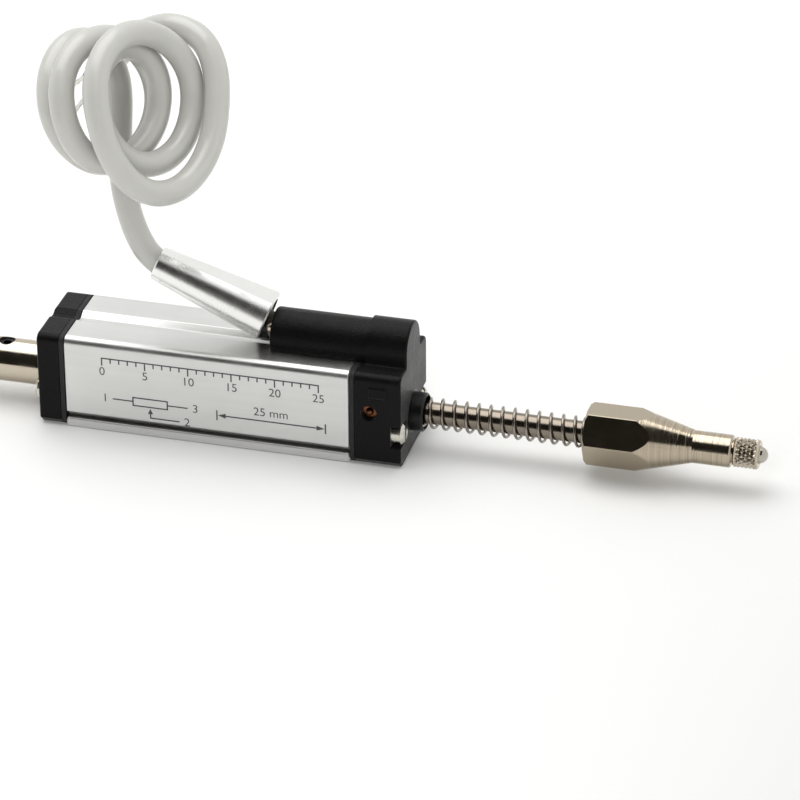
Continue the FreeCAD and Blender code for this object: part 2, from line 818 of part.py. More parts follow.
def make_cable_cores():
    """Three open cores with ferrules at the tail's end."""
    end = on_coil(tail_points[-1])
    axis = end.sub(on_coil(tail_points[-2])).normalize()
    side = axis.cross(X_AXIS).normalize()
    core = Part.makeCylinder(core_diameter / 2, core_length).fuse(
        Part.makeCylinder(ferrule_diameter / 2, core_length + ferrule_length)).removeSplitter()
    cores = []
    for index in range(3):
        outward = FreeCAD.Rotation(axis, FULL_TURN * index / 3).multVec(side)
        direction = FreeCAD.Rotation(axis.cross(outward), core_splay).multVec(axis)
        placed = core.copy()
        placed.Placement = FreeCAD.Placement(end + outward * (core_circle / 2) + axis * core_gap,
                                             FreeCAD.Rotation(V(0, 0, 1), direction))
        cores.append(placed)
    return Part.makeCompound(cores)


def make_lead_ribbon():
    """Flat lead from the socket's contacts down to the board's front end."""
    half = ribbon_thickness / 2
    start = V(front_cap_rear + contact_tail + touch_gap, 0, socket_height)
    turn = front_cap_rear + wiring_depth / 2
    rest = board_top + half + touch_gap
    path, radii = bent_path([start, V(turn, 0, socket_height), V(turn, 0, rest),
                             V(profile_front - board_end_gap - wiring_depth / 3, 0, rest)])
    across = V(0, ribbon_width / 2, 0)
    upward = V(0, 0, half)
    corners = [start - across - upward, start + across - upward, start + across + upward, start - across + upward]
    return path.makePipeShell([Part.makePolygon(corners + corners[:1])], True, False)


def make_solder_lug():
    centre = V(front_cap_rear + window_from_cap_rear, -half_width + window_depth, window_height)
    disc = Part.makeCylinder(lug_diameter / 2, lug_thickness, centre, V(0, -1, 0))
    dome = Part.makeSphere(lug_dome_radius, centre + V(0, -lug_thickness, 0))
    behind = Part.makeCylinder(window_diameter, window_diameter, centre, Y_AXIS)
    return disc.fuse(dome).cut(behind).removeSplitter()


def make_all():
    """Every piece by its node's name."""
    front_seat = front_face - screw_head_length + screw_head_proud
    rear_seat = rear_face + screw_head_length - rear_head_proud
    pieces = {
        "housing_profile": make_housing_profile(),
        "front_cap": make_front_cap(),
        "rear_cap": make_rear_cap(),
        "front_gasket": make_gasket(profile_front, front_cap_rear),
        "rear_gasket": make_gasket(rear_cap_front, profile_rear),
        "front_bush": make_front_bush(),
        "rear_bush": make_rear_bush(),
        "front_cap_screws": make_screws(front_seat, 1),
        "rear_cap_screws": make_screws(rear_seat, -1),
        "return_spring": make_return_spring(),
        "resistor_board": make_board(),
        "resistor_track": make_track(-1),
        "collector_track": make_track(1),
        "lead_ribbon": make_lead_ribbon(),
        "solder_lug": make_solder_lug(),
        "wiper_carrier": make_wiper_carrier(),
        "wiper_fingers": make_wiper_fingers(),
        "carrier_clips": make_carrier_clips(),
        "rod": make_rod(),
        "tip_holder": make_tip_holder(),
        "contact_stem": make_contact_stem(),
        "contact_ball": ball(ball_diameter / 2),
        "stop_sleeve": make_stop_sleeve(),
        "sleeve_screw": make_sleeve_screw(),
        "stop_washer": make_stop_washer(),
        "socket_hood": make_socket_hood(),
        "socket_insert": make_socket_insert(),
        "socket_contacts": make_socket_contacts(),
        "plug_shell": make_plug_shell(),
        "plug_collar": make_plug_collar(),
        "plug_insert": make_plug_insert(),
        "plug_pins": make_plug_pins(),
        "plug_grommet": make_plug_grommet(),
        "cable_coil": make_cable_coil(),
        "cable_cores": make_cable_cores(),
    }
    pieces["plug_elbow"] = make_plug_elbow(pieces["plug_shell"])
    lead = [V(*point) for point in lead_points]
    tail = [on_coil(point) for point in tail_points]
    pieces["cable_lead"] = make_cable_run(lead, [pieces["plug_shell"], pieces["plug_grommet"], pieces["cable_coil"]])
    pieces["cable_tail"] = make_cable_run(tail, [pieces["cable_coil"]])
    return pieces


os.makedirs("parts", exist_ok=True)
for name, shape in make_all().items():
    shape.exportStep("parts/" + name + ".step")
    print(name, len(shape.Solids), "solids", round(shape.Volume, 1), "mm3", "valid" if shape.isValid() else "INVALID")
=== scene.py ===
"""Dresses a spring-return linear potentiometer.

Makes its finishes, return spring, knurled contact point, cable, side print and stage.
"""
import math

import bmesh
import bpy
from bpy.props import FloatProperty, FloatVectorProperty, IntProperty, PointerProperty
from mathutils import Matrix, Vector


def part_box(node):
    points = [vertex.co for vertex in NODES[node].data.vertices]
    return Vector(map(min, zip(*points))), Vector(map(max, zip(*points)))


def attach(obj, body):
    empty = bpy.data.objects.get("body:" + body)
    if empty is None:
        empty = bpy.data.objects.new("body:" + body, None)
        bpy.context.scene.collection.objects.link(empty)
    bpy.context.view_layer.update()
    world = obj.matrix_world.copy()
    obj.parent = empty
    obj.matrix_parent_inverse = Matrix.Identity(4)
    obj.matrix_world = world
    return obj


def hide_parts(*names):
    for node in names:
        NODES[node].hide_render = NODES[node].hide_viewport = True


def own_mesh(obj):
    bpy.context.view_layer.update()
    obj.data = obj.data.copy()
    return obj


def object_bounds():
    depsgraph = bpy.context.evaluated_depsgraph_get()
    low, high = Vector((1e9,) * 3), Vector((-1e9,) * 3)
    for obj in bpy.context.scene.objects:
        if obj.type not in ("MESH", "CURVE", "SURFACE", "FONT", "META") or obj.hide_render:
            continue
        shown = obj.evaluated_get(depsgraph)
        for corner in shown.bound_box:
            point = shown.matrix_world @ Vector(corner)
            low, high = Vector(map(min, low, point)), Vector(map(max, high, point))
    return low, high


bl_info = {
    "name": "Spring-return linear potentiometer",
    "version": (1, 0, 0),
    "blender": (4, 5, 0),
    "location": "3D View > Sidebar > Sensor",
    "description": "Builds the visible pieces, finishes and stage of a spring-return linear potentiometer",
    "category": "Object",
}

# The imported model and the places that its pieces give
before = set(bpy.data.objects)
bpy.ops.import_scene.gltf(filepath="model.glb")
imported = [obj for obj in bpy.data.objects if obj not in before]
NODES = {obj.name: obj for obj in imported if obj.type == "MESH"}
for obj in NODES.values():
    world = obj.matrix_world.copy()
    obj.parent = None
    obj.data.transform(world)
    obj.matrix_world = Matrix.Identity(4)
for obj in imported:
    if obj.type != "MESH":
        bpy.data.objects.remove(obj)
CAD_LOW, CAD_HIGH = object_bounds()
MM = 0.001
ROD_LOW, ROD_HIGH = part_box("rod")
AXIS_HEIGHT = (ROD_LOW.z + ROD_HIGH.z) / 2
SPRING_LOW, SPRING_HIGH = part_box("return_spring")
STEM_LOW, STEM_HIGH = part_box("contact_stem")
BALL_LOW, BALL_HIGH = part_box("contact_ball")
HOLDER_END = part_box("tip_holder")[1].x
NECK_LENGTH = 6.8 * MM
NEAR_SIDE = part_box("housing_profile")[0].y

# Places of the colour sockets on a Mix node
MIX_FACTOR = 0
MIX_FIRST = 6
MIX_SECOND = 7
MIX_RESULT = 2


def length_value(name, text, default):
    return FloatProperty(name=name, description=text, default=default, unit="LENGTH", subtype="DISTANCE",
                         precision=5)


def angle_value(name, text, default):
    return FloatProperty(name=name, description=text, default=default, subtype="ANGLE")


def power_value(name, text, default):
    return FloatProperty(name=name, description=text, default=default, unit="POWER")


def plain_value(name, text, default, **limits):
    return FloatProperty(name=name, description=text, default=default, **limits)


def place_value(name, text, default):
    return FloatVectorProperty(name=name, description=text, default=default, size=3, unit="LENGTH",
                               subtype="TRANSLATION")


def colour_value(name, text, default):
    return FloatVectorProperty(name=name, description=text, default=default, size=3, subtype="COLOR",
                               min=0.0, max=1.0)


class SensorFinishes(bpy.types.PropertyGroup):
    """Colours of the finishes."""

    aluminium: colour_value("Aluminium", "Clear anodised profile", (0.66, 0.66, 0.65))
    grime: colour_value("Hollow shade", "Painted shade in grooves and slots", (0.09, 0.088, 0.08))
    # Painted shade: the dark colour laid over grooves, slots and corners where the piece's own occlusion
    # falls
    moulding: colour_value("Moulding", "Black caps and hood", (0.003, 0.003, 0.0031))
    rubber: colour_value("Rubber", "Gaskets, grommet and buffer washer", (0.014, 0.014, 0.0145))
    nickel: colour_value("Nickel", "Plated turned parts", (0.55, 0.487, 0.395))
    holder: colour_value("Holder", "Plated tip holder", (0.455, 0.392, 0.302))
    plug: colour_value("Plug", "Satin plug shell", (0.86, 0.86, 0.845))
    steel: colour_value("Steel", "Ground rod", (0.24, 0.205, 0.168))
    spring: colour_value("Spring", "Drawn spring wire", (0.3, 0.27, 0.235))
    ball: colour_value("Ball", "Polished contact ball", (0.47, 0.445, 0.395))
    screw: colour_value("Screw", "Zinc plated screws", (0.62, 0.6, 0.54))
    oxide: colour_value("Oxide", "Blackened set screw", (0.06, 0.06, 0.065))
    copper: colour_value("Copper", "Lug behind the window", (0.15, 0.062, 0.032))
    brass: colour_value("Brass", "Contacts and wiper", (0.75, 0.55, 0.25))
    laminate: colour_value("Laminate", "Board of the measuring element", (0.06, 0.17, 0.075))
    film: colour_value("Film", "Conductive plastic tracks", (0.02, 0.02, 0.022))
    cable: colour_value("Cable", "Light grey sheath", (0.485, 0.482, 0.453))
    brown_core: colour_value("Brown core", "First insulated core", (0.11, 0.045, 0.02))
    blue_core: colour_value("Blue core", "Second insulated core", (0.02, 0.06, 0.2))
    black_core: colour_value("Black core", "Third insulated core", (0.012, 0.012, 0.013))
    tin: colour_value("Tin", "Ferrules of the open end", (0.7, 0.69, 0.66))
    ink: colour_value("Ink", "Dark grey print", (0.075, 0.075, 0.08))


class SensorSpring(bpy.types.PropertyGroup):
    """Sizes of the return spring."""

    wire: length_value("Wire", "Diameter of the wire", 0.54 * MM)
    outside: length_value("Outside", "Outer diameter of the coils", 5.7 * MM)
    turns: plain_value("Turns", "Turns from end to end", 17.85, min=4.0)
    closed: plain_value("Closed turns", "Turns that lie closed at each end", 1.0, min=0.0)
    start_angle: angle_value("Start", "Angle of the wire's end", 0.6)
    shortest_share: plain_value("Shortest", "Share of its length when pushed in", 0.3095)


class SensorKnurl(bpy.types.PropertyGroup):
    """Sizes of the contact point's grip."""

    rows: IntProperty(name="Rows", description="Diamonds round the grip", default=18, min=8)
    pitch: length_value("Pitch", "Length of a diamond along the grip", 1.42 * MM)
    depth: length_value("Depth", "Depth of the grooves", 0.44 * MM)
    grip: length_value("Grip", "Outer diameter of the grip", 5.3 * MM)
    groove: length_value("Groove", "Diameter of the groove behind the grip", 4.2 * MM)
    groove_length: length_value("Groove length", "Length of the groove behind the grip", 0.3 * MM)
    chamfer: length_value("Chamfer", "Chamfer at the grip's ends", 0.3 * MM)
    stud: length_value("Stud", "Diameter of the stud in the holder", 2.4 * MM)
    lip: length_value("Lip", "Length of the lip round the ball", 0.2 * MM)
    lip_base: length_value("Lip base", "Radius of the lip at the grip", 1.7 * MM)
    lip_end: length_value("Lip end", "Radius of the lip's end", 1.6 * MM)


class SensorCable(bpy.types.PropertyGroup):
    """Sizes of the cable and of its coil."""

    diameter: length_value("Diameter", "Outer diameter of the sheath", 4.5 * MM)
    length: length_value("Length", "Length from the plug to the open end", 0.348)
    coil_place: place_value("Coil", "Middle of the front turn", (-9.2 * MM, -6.9 * MM, 66.6 * MM))
    heading: angle_value("Heading", "Turn of the coil's axis", math.radians(-26))
    rise: angle_value("Rise", "Rise of the coil's axis", math.radians(20))
    lean: angle_value("Lean", "Lean of the coil", math.radians(21.8))
    core: length_value("Core", "Diameter of an insulated core", 1.3 * MM)
    core_length: length_value("Core length", "Length of an insulated core", 9.0 * MM)
    core_spread: angle_value("Spread", "Lean of each core", math.radians(9))
    ferrule: length_value("Ferrule", "Diameter of a ferrule", 0.9 * MM)
    ferrule_length: length_value("Ferrule length", "Length of a ferrule", 5.0 * MM)


class SensorPrint(bpy.types.PropertyGroup):
    """Print on the near side of the housing."""

    line: length_value("Line", "Width of a printed line", 0.26 * MM)
    digits: length_value("Digits", "Size of the digits", 2.3 * MM)
    step: length_value("Step", "Distance between two ticks of the scale", 1.6 * MM)
    scale_start: length_value("Scale start", "Place of the first tick along the housing", -19.2 * MM)
    scale_height: length_value("Scale height", "Height of the scale's base line", 14.9 * MM)
    symbol_place: length_value("Symbol", "Middle of the circuit symbol along the housing", -10.4 * MM)
    symbol_height: length_value("Symbol height", "Height of the circuit symbol", 6.9 * MM)
    stroke_start: length_value("Stroke start", "Start of the stroke arrow along the housing", 2.0 * MM)
    stroke_end: length_value("Stroke end", "End of the stroke arrow along the housing", 22.0 * MM)
    thickness: length_value("Thickness", "Thickness of the ink", 0.012 * MM)


class SensorStage(bpy.types.PropertyGroup):
    """Camera, floor and light."""

    camera_place: place_value("Camera", "Place of the camera", (0.21198, -0.65576, 0.3896))
    camera_target: place_value("Target", "Point in the middle of the picture", (0.0332, 0.0, 0.0089))
    camera_roll: angle_value("Roll", "Roll of the camera", math.radians(-0.33))
    lens: plain_value("Lens", "Focal length in millimetres", 198.0, min=1.0)
    floor_size: length_value("Floor", "Side of the floor", 6.0)
    softbox_size: length_value("Softbox", "Side of the light overhead", 0.9)
    softbox_place: place_value("Softbox place", "Place of the light overhead", (-0.2, 0.12, 0.85))
    softbox_power: power_value("Softbox power", "Power of the light overhead", 5.2)
    fill_size: length_value("Fill", "Side of the soft light in front", 0.35)
    fill_place: place_value("Fill place", "Place of the soft light in front", (0.12, -0.7, 0.5))
    fill_power: power_value("Fill power", "Power of the soft light in front", 2.6)
    card_place: place_value("Card place", "Middle of the dark card over the tip", (0.2, -0.14, 0.25))
    card_size: length_value("Card", "Length of the dark card", 0.38)
    card_lean: angle_value("Card lean", "Lean of the dark card", math.radians(35))
    floor: colour_value("Floor colour", "Pale table", (0.84, 0.84, 0.83))
    dark: colour_value("Dark wall", "Dark wall behind the camera", (0.022, 0.021, 0.018))
    side: colour_value("Side walls", "Walls at the sides", (0.95, 0.95, 0.94))
    pale: colour_value("Pale wall", "Bright wall behind the part", (1.0, 1.0, 0.99))
    wall_light: plain_value("Wall light", "Strength of the walls' light", 0.95, min=0.0)
    dark_top: plain_value("Dark top", "Height of the dark wall's slanting top edge", 0.75)
    dark_base: plain_value("Dark base", "Height of the dark wall's slanting lower edge", 0.18)
    dark_left: plain_value("Dark left", "Left edge of the dark wall", -0.8)
    dark_right: plain_value("Dark right", "Right edge of the dark wall", 0.5)


# Nodes and node groups that several finishes share

def new_group(name, inputs, outputs):
    """Empty shader group with float inputs (name, default) and float outputs."""
    tree = bpy.data.node_groups.new(name, "ShaderNodeTree")
    for label, default in inputs:
        socket = tree.interface.new_socket(name=label, in_out="INPUT", socket_type="NodeSocketFloat")
        socket.default_value = default
    for label in outputs:
        tree.interface.new_socket(name=label, in_out="OUTPUT", socket_type="NodeSocketFloat")
    return tree, tree.nodes.new("NodeGroupInput"), tree.nodes.new("NodeGroupOutput")


def add_math(tree, operation, *operands):
    """Math node; each operand is a socket or a number."""
    node = tree.nodes.new("ShaderNodeMath")
    node.operation = operation
    for socket, operand in zip(node.inputs, operands):
        if isinstance(operand, (int, float)):
            socket.default_value = operand
        else:
            tree.links.new(operand, socket)
    return node.outputs[0]


def add_mix(tree, factor, first, second):
    """Colour Mix node; each colour is a socket or its red, green and blue."""
    node = tree.nodes.new("ShaderNodeMix")
    node.data_type = "RGBA"
    tree.links.new(factor, node.inputs[MIX_FACTOR])
    for socket, colour in ((node.inputs[MIX_FIRST], first), (node.inputs[MIX_SECOND], second)):
        if isinstance(colour, bpy.types.NodeSocket):
            tree.links.new(colour, socket)
        else:
            socket.default_value = (*colour, 1)
    return node.outputs[MIX_RESULT]


def add_noise(tree, vector, scale, detail, roughness=0.55):
    node = tree.nodes.new("ShaderNodeTexNoise")
    node.inputs["Scale"].default_value = scale
    node.inputs["Detail"].default_value = detail
    node.inputs["Roughness"].default_value = roughness
    tree.links.new(vector, node.inputs["Vector"])
    return node.outputs["Fac"]


def surface_parts(tree, label):
    """X, Y and Z of the object point or of the normal."""
    split = tree.nodes.new("ShaderNodeSeparateXYZ")
    tree.links.new(tree.nodes.new("ShaderNodeTexCoord").outputs[label], split.inputs[0])
    return split.outputs


def scaled_point(tree, x, y, z):
    """Object point with each direction scaled by a socket."""
    scale = tree.nodes.new("ShaderNodeCombineXYZ")
    for socket, value in zip(scale.inputs, (x, y, z)):
        tree.links.new(value, socket)
    product = tree.nodes.new("ShaderNodeVectorMath")
    product.operation = "MULTIPLY"
    tree.links.new(tree.nodes.new("ShaderNodeTexCoord").outputs["Object"], product.inputs[0])
    tree.links.new(scale.outputs[0], product.inputs[1])
    return product.outputs[0]


def make_lengthwise_grain():
    """Drawn lines along X, as a die or a brush leaves them."""
    tree, given, result = new_group("Lengthwise grain", [("Along", 40.0), ("Across", 9000.0)],
                                    ["Height", "Tone"])
    across = given.outputs["Across"]
    point = scaled_point(tree, given.outputs["Along"], across, across)
    fine = add_noise(tree, point, scale=1.0, detail=3.0)
    broad = add_noise(tree, point, scale=0.12, detail=2.0)
    tone = add_math(tree, "MULTIPLY_ADD", fine, 0.5, add_math(tree, "MULTIPLY", broad, 0.5))
    tree.links.new(fine, result.inputs["Height"])
    tree.links.new(tone, result.inputs["Tone"])
    return tree


def make_turned_rings():
    """Rings round X that a lathe tool leaves, on slopes and on everything beyond a place along X."""
    least_slope = 0.1
    middle = 0.5
    tree, given, result = new_group("Turned rings", [("Rings", 4000.0), ("From", -1.0)], ["Height", "Tone"])
    along = surface_parts(tree, "Object")["X"]
    slope = add_math(tree, "ABSOLUTE", surface_parts(tree, "Normal")["X"])
    sloping = add_math(tree, "GREATER_THAN", slope, least_slope)
    beyond = add_math(tree, "GREATER_THAN", along, given.outputs["From"])
    turned = add_math(tree, "MAXIMUM", sloping, beyond)
    place = add_math(tree, "MULTIPLY", along, given.outputs["Rings"])
    for label, scale in (("Height", 1.0), ("Tone", 0.8)):
        noise = tree.nodes.new("ShaderNodeTexNoise")
        noise.noise_dimensions = "1D"
        noise.inputs["Scale"].default_value = scale
        noise.inputs["Detail"].default_value = 2.0
        tree.links.new(place, noise.inputs["W"])
        level = add_math(tree, "SUBTRACT", noise.outputs["Fac"], middle)
        kept = add_math(tree, "MULTIPLY", level, turned)
        tree.links.new(add_math(tree, "ADD", kept, middle), result.inputs[label])
    return tree


def make_moulded_grain():
    """Fine matte skin of a filled moulding."""
    tree, given, result = new_group("Moulded grain", [("Scale", 5200.0)], ["Height", "Tone"])
    point = scaled_point(tree, *[given.outputs["Scale"]] * 3)
    cells = tree.nodes.new("ShaderNodeTexVoronoi")
    cells.inputs["Scale"].default_value = 0.7
    tree.links.new(point, cells.inputs["Vector"])
    fine = add_noise(tree, point, scale=1.0, detail=3.0)
    pits = add_math(tree, "MULTIPLY", fine, cells.outputs["Distance"])
    tree.links.new(pits, result.inputs["Height"])
    tree.links.new(add_noise(tree, point, scale=0.05, detail=3.0), result.inputs["Tone"])
    return tree


def make_handled_film():
    """Soft patches that handling leaves, between two values."""
    usual_low, usual_high = 0.3, 0.7
    tree, given, result = new_group("Handled film", [("Scale", 260.0), ("Low", 0.2), ("High", 0.3)],
                                    ["Value", "Tone"])
    point = scaled_point(tree, *[given.outputs["Scale"]] * 3)
    patches = add_noise(tree, point, scale=1.0, detail=4.0, roughness=0.6)
    ramp = tree.nodes.new("ShaderNodeMapRange")
    ramp.inputs["From Min"].default_value = usual_low
    ramp.inputs["From Max"].default_value = usual_high
    tree.links.new(patches, ramp.inputs["Value"])
    tree.links.new(given.outputs["Low"], ramp.inputs["To Min"])
    tree.links.new(given.outputs["High"], ramp.inputs["To Max"])
    tree.links.new(ramp.outputs["Result"], result.inputs["Value"])
    tree.links.new(patches, result.inputs["Tone"])
    return tree


def make_hollows():
    """Mask of a piece's own grooves and corners, by how much of it stands within reach, for painted shade.
    """
    tree, given, result = new_group("Hollows", [("Reach", 1.0 * MM)], ["Mask"])
    around = tree.nodes.new("ShaderNodeAmbientOcclusion")
    around.only_local = True
    around.samples = 8
    tree.links.new(given.outputs["Reach"], around.inputs["Distance"])
    tree.links.new(add_math(tree, "SUBTRACT", 1.0, around.outputs["AO"]), result.inputs["Mask"])
    return tree


GROUP_MAKERS = {
    "Lengthwise grain": make_lengthwise_grain,
    "Turned rings": make_turned_rings,
    "Moulded grain": make_moulded_grain,
    "Handled film": make_handled_film,
    "Hollows": make_hollows,
}


class Finish:
    """A material with one Principled shader and the nodes that feed it."""

    def __init__(self, name, **sockets):
        self.material = bpy.data.materials.new(name)
        self.material.use_nodes = True
        self.tree = self.material.node_tree
        self.shader = self.tree.nodes["Principled BSDF"]
        for label, value in sockets.items():
            self.shader.inputs[label.replace("_", " ")].default_value = value

    def group(self, name, **inputs):
        node = self.tree.nodes.new("ShaderNodeGroup")
        node.node_tree = bpy.data.node_groups.get(name) or GROUP_MAKERS[name]()
        for label, value in inputs.items():
            node.inputs[label].default_value = value
        return node.outputs

    def feed(self, socket, label):
        self.tree.links.new(socket, self.shader.inputs[label])

    def colour(self, tone, colour, spread):
        """Base colour that varies with the tone by a share of itself."""
        dark = [part * (1 - spread) for part in colour]
        light = [min(1, part * (1 + spread)) for part in colour]
        self.feed(add_mix(self.tree, tone, dark, light), "Base Color")

    def soil(self, colour, reach):
        """Lays painted shade over the base colour in grooves and corners, darker where more of the piece's
        own surface stands close by.
        """
        mask = self.group("Hollows", Reach=reach)["Mask"]
        unshaded = self.shader.inputs["Base Color"].links[0].from_socket
        self.feed(add_mix(self.tree, mask, unshaded, colour), "Base Color")

    def patches(self, low, high, scale):
        """Roughness between two values, in soft patches."""
        film = self.group("Handled film", Scale=scale, Low=low, High=high)
        self.feed(film["Value"], "Roughness")
        return film["Tone"]

    def bump(self, height, strength, distance):
        node = self.tree.nodes.new("ShaderNodeBump")
        node.inputs["Strength"].default_value = strength
        node.inputs["Distance"].default_value = distance
        self.tree.links.new(height, node.inputs["Height"])
        previous = self.shader.inputs["Normal"].links
        if previous:
            self.tree.links.new(previous[0].from_socket, node.inputs["Normal"])
        self.feed(node.outputs["Normal"], "Normal")


def patchy(name, colour, spread, low, high, scale, **sockets):
    """Finish whose roughness and colour vary in the same soft patches."""
    finish = Finish(name, **sockets)
    finish.colour(finish.patches(low, high, scale), colour, spread)
    return finish


def patchy_metal(name, colour, spread, low, high, scale):
    return patchy(name, colour, spread, low, high, scale, Metallic=1.0)


def dress(finish, *names):
    """Gives CAD nodes a finish."""
    for name in names:
        mesh = NODES[name].data
        mesh.materials.clear()
        mesh.materials.append(finish.material)


# Finishes

def anodised_extrusion(colours):
    finish = Finish("Anodised extrusion", Metallic=1.0)
    grain = finish.group("Lengthwise grain", Along=30.0, Across=7000.0)
    finish.patches(low=0.31, high=0.41, scale=140.0)
    finish.colour(grain["Tone"], colours.aluminium, spread=0.07)
    # Painted shade darkens the profile's grooves and inner corners.
    finish.soil(colours.grime, reach=1.3 * MM)
    finish.bump(grain["Height"], strength=0.35, distance=0.006 * MM)
    return finish


def moulded_black(colours):
    finish = Finish("Moulded black", Specular_IOR_Level=0.11, Sheen_Weight=0.15, Sheen_Roughness=0.35)
    grain = finish.group("Moulded grain", Scale=3600.0)
    finish.patches(low=0.34, high=0.44, scale=300.0)
    finish.colour(grain["Tone"], colours.moulding, spread=0.35)
    finish.bump(grain["Height"], strength=0.85, distance=0.08 * MM)
    return finish


def smooth_black(colours):
    return patchy("Smooth black plastic", colours.moulding, spread=0.25, low=0.28, high=0.4, scale=400.0,
                  Specular_IOR_Level=0.32)


def black_rubber(colours):
    finish = Finish("Black rubber", Specular_IOR_Level=0.35)
    grain = finish.group("Moulded grain", Scale=9000.0)
    finish.patches(low=0.6, high=0.75, scale=300.0)
    finish.colour(grain["Tone"], colours.rubber, spread=0.3)
    finish.bump(grain["Height"], strength=0.3, distance=0.02 * MM)
    return finish


def turned_nickel(colours):
    finish = Finish("Turned nickel", Metallic=1.0)
    rings = finish.group("Turned rings", Rings=3400.0)
    finish.patches(low=0.1, high=0.19, scale=420.0)
    finish.colour(rings["Tone"], colours.nickel, spread=0.06)
    finish.bump(rings["Height"], strength=0.35, distance=0.012 * MM)
    return finish


def holder_nickel(colours):
    """Drawn hexagon with faint lengthwise scratches, and lathe rings on its cone and neck."""
    finish = Finish("Holder nickel", Metallic=1.0)
    rings = finish.group("Turned rings", Rings=3400.0, From=HOLDER_END - NECK_LENGTH)
    scratches = finish.group("Lengthwise grain", Along=90.0, Across=2600.0)
    finish.patches(low=0.12, high=0.2, scale=420.0)
    finish.colour(rings["Tone"], colours.holder, spread=0.36)
    finish.bump(scratches["Height"], strength=0.16, distance=0.006 * MM)
    finish.bump(rings["Height"], strength=0.9, distance=0.035 * MM)
    return finish


def knurled_nickel(colours):
    finish = patchy_metal("Knurled nickel", colours.nickel, spread=0.08, low=0.08, high=0.16, scale=900.0)
    # Painted shade darkens the knurl's grooves.
    finish.soil(colours.grime, reach=0.4 * MM)
    return finish


def smooth_nickel(colours):
    return patchy_metal("Smooth nickel", colours.nickel, spread=0.08, low=0.14, high=0.24, scale=420.0)


def tinned_ferrule(colours):
    return patchy_metal("Tinned ferrule", colours.tin, spread=0.1, low=0.22, high=0.36, scale=1200.0)


def satin_shell(colours):
    return patchy_metal("Satin plug shell", colours.plug, spread=0.04, low=0.23, high=0.29, scale=300.0)


def ground_steel(colours):
    finish = Finish("Ground steel", Metallic=1.0)
    rings = finish.group("Turned rings", Rings=11000.0)
    finish.patches(low=0.14, high=0.24, scale=500.0)
    finish.colour(rings["Tone"], colours.steel, spread=0.05)
    finish.bump(rings["Height"], strength=0.2, distance=0.004 * MM)
    return finish


def spring_wire(colours):
    return patchy_metal("Spring wire", colours.spring, spread=0.08, low=0.14, high=0.24, scale=700.0)


def polished_ball(colours):
    return patchy_metal("Polished ball", colours.ball, spread=0.04, low=0.04, high=0.09, scale=900.0)


def zinc_plate(colours):
    finish = patchy_metal("Zinc plate", colours.screw, spread=0.1, low=0.18, high=0.34, scale=900.0)
    # Painted shade darkens the screws' slots and corners.
    finish.soil(colours.grime, reach=0.7 * MM)
    return finish


def black_oxide(colours):
    return patchy_metal("Black oxide", colours.oxide, spread=0.2, low=0.3, high=0.45, scale=900.0)


def copper_tin(colours):
    return patchy_metal("Copper lug", colours.copper, spread=0.25, low=0.18, high=0.36, scale=900.0)


def bright_brass(colours):
    return patchy_metal("Bright brass", colours.brass, spread=0.1, low=0.15, high=0.3, scale=700.0)


def board_laminate(colours):
    finish = Finish("Board laminate", Coat_Weight=0.3)
    grain = finish.group("Moulded grain", Scale=2600.0)
    finish.patches(low=0.3, high=0.45, scale=300.0)
    finish.colour(grain["Tone"], colours.laminate, spread=0.25)
    return finish


def resistive_film(colours):
    finish = Finish("Resistive film")
    grain = finish.group("Lengthwise grain", Along=60.0, Across=5000.0)
    finish.patches(low=0.3, high=0.42, scale=300.0)
    finish.colour(grain["Tone"], colours.film, spread=0.3)
    return finish


def flat_lead(colours):
    return patchy("Flat lead", colours.cable, spread=0.12, low=0.4, high=0.55, scale=500.0,
                  Specular_IOR_Level=0.4)


def cable_sheath(colours):
    finish = patchy("Cable sheath", colours.cable, spread=0.05, low=0.34, high=0.46, scale=180.0,
                    Specular_IOR_Level=0.5, Coat_Weight=0.8, Coat_Roughness=0.16)
    grain = finish.group("Moulded grain", Scale=3000.0)
    finish.bump(grain["Height"], strength=0.06, distance=0.03 * MM)
    return finish


def core_sleeve(name, colour):
    return patchy(name, colour, spread=0.12, low=0.3, high=0.42, scale=600.0, Specular_IOR_Level=0.5)


def print_ink(colours):
    return patchy("Print ink", colours.ink, spread=0.3, low=0.5, high=0.65, scale=900.0,
                  Specular_IOR_Level=0.3)


# Mesh helpers

def new_piece(name, mesh, finish, body):
    """Object of a mesh or curve that rides on a body."""
    piece = bpy.data.objects.new(name, mesh)
    bpy.context.scene.collection.objects.link(piece)
    mesh.materials.append(finish.material)
    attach(piece, body)
    return piece


def mesh_from(name, vertices, faces):
    """Smooth-shaded mesh with its faces turned outwards."""
    mesh = bpy.data.meshes.new(name)
    mesh.from_pydata(vertices, [], faces)
    mesh.validate()
    work = bmesh.new()
    work.from_mesh(mesh)
    bmesh.ops.recalc_face_normals(work, faces=work.faces)
    work.to_mesh(mesh)
    work.free()
    mesh.polygons.foreach_set("use_smooth", [True] * len(mesh.polygons))
    mesh.update()
    return mesh


def ring_faces(rings, sides):
    """Quads between rings of vertices that follow one another, with a closing face at each end."""
    faces = []
    for ring in range(rings - 1):
        for side in range(sides):
            beside = (side + 1) % sides
            low, high = ring * sides, (ring + 1) * sides
            faces.append((low + side, low + beside, high + beside, high + side))
    faces.append(tuple(reversed(range(sides))))
    faces.append(tuple(range((rings - 1) * sides, rings * sides)))
    return faces


# Operators, one for each group of pieces

class SENSOR_OT_housing(bpy.types.Operator):
    """Finish of the extruded housing profile"""

    bl_idname = "linear_sensor.housing"
    bl_label = "Housing"

    def execute(self, context):
        dress(anodised_extrusion(context.scene.sensor_finishes), "housing_profile")
        return {"FINISHED"}


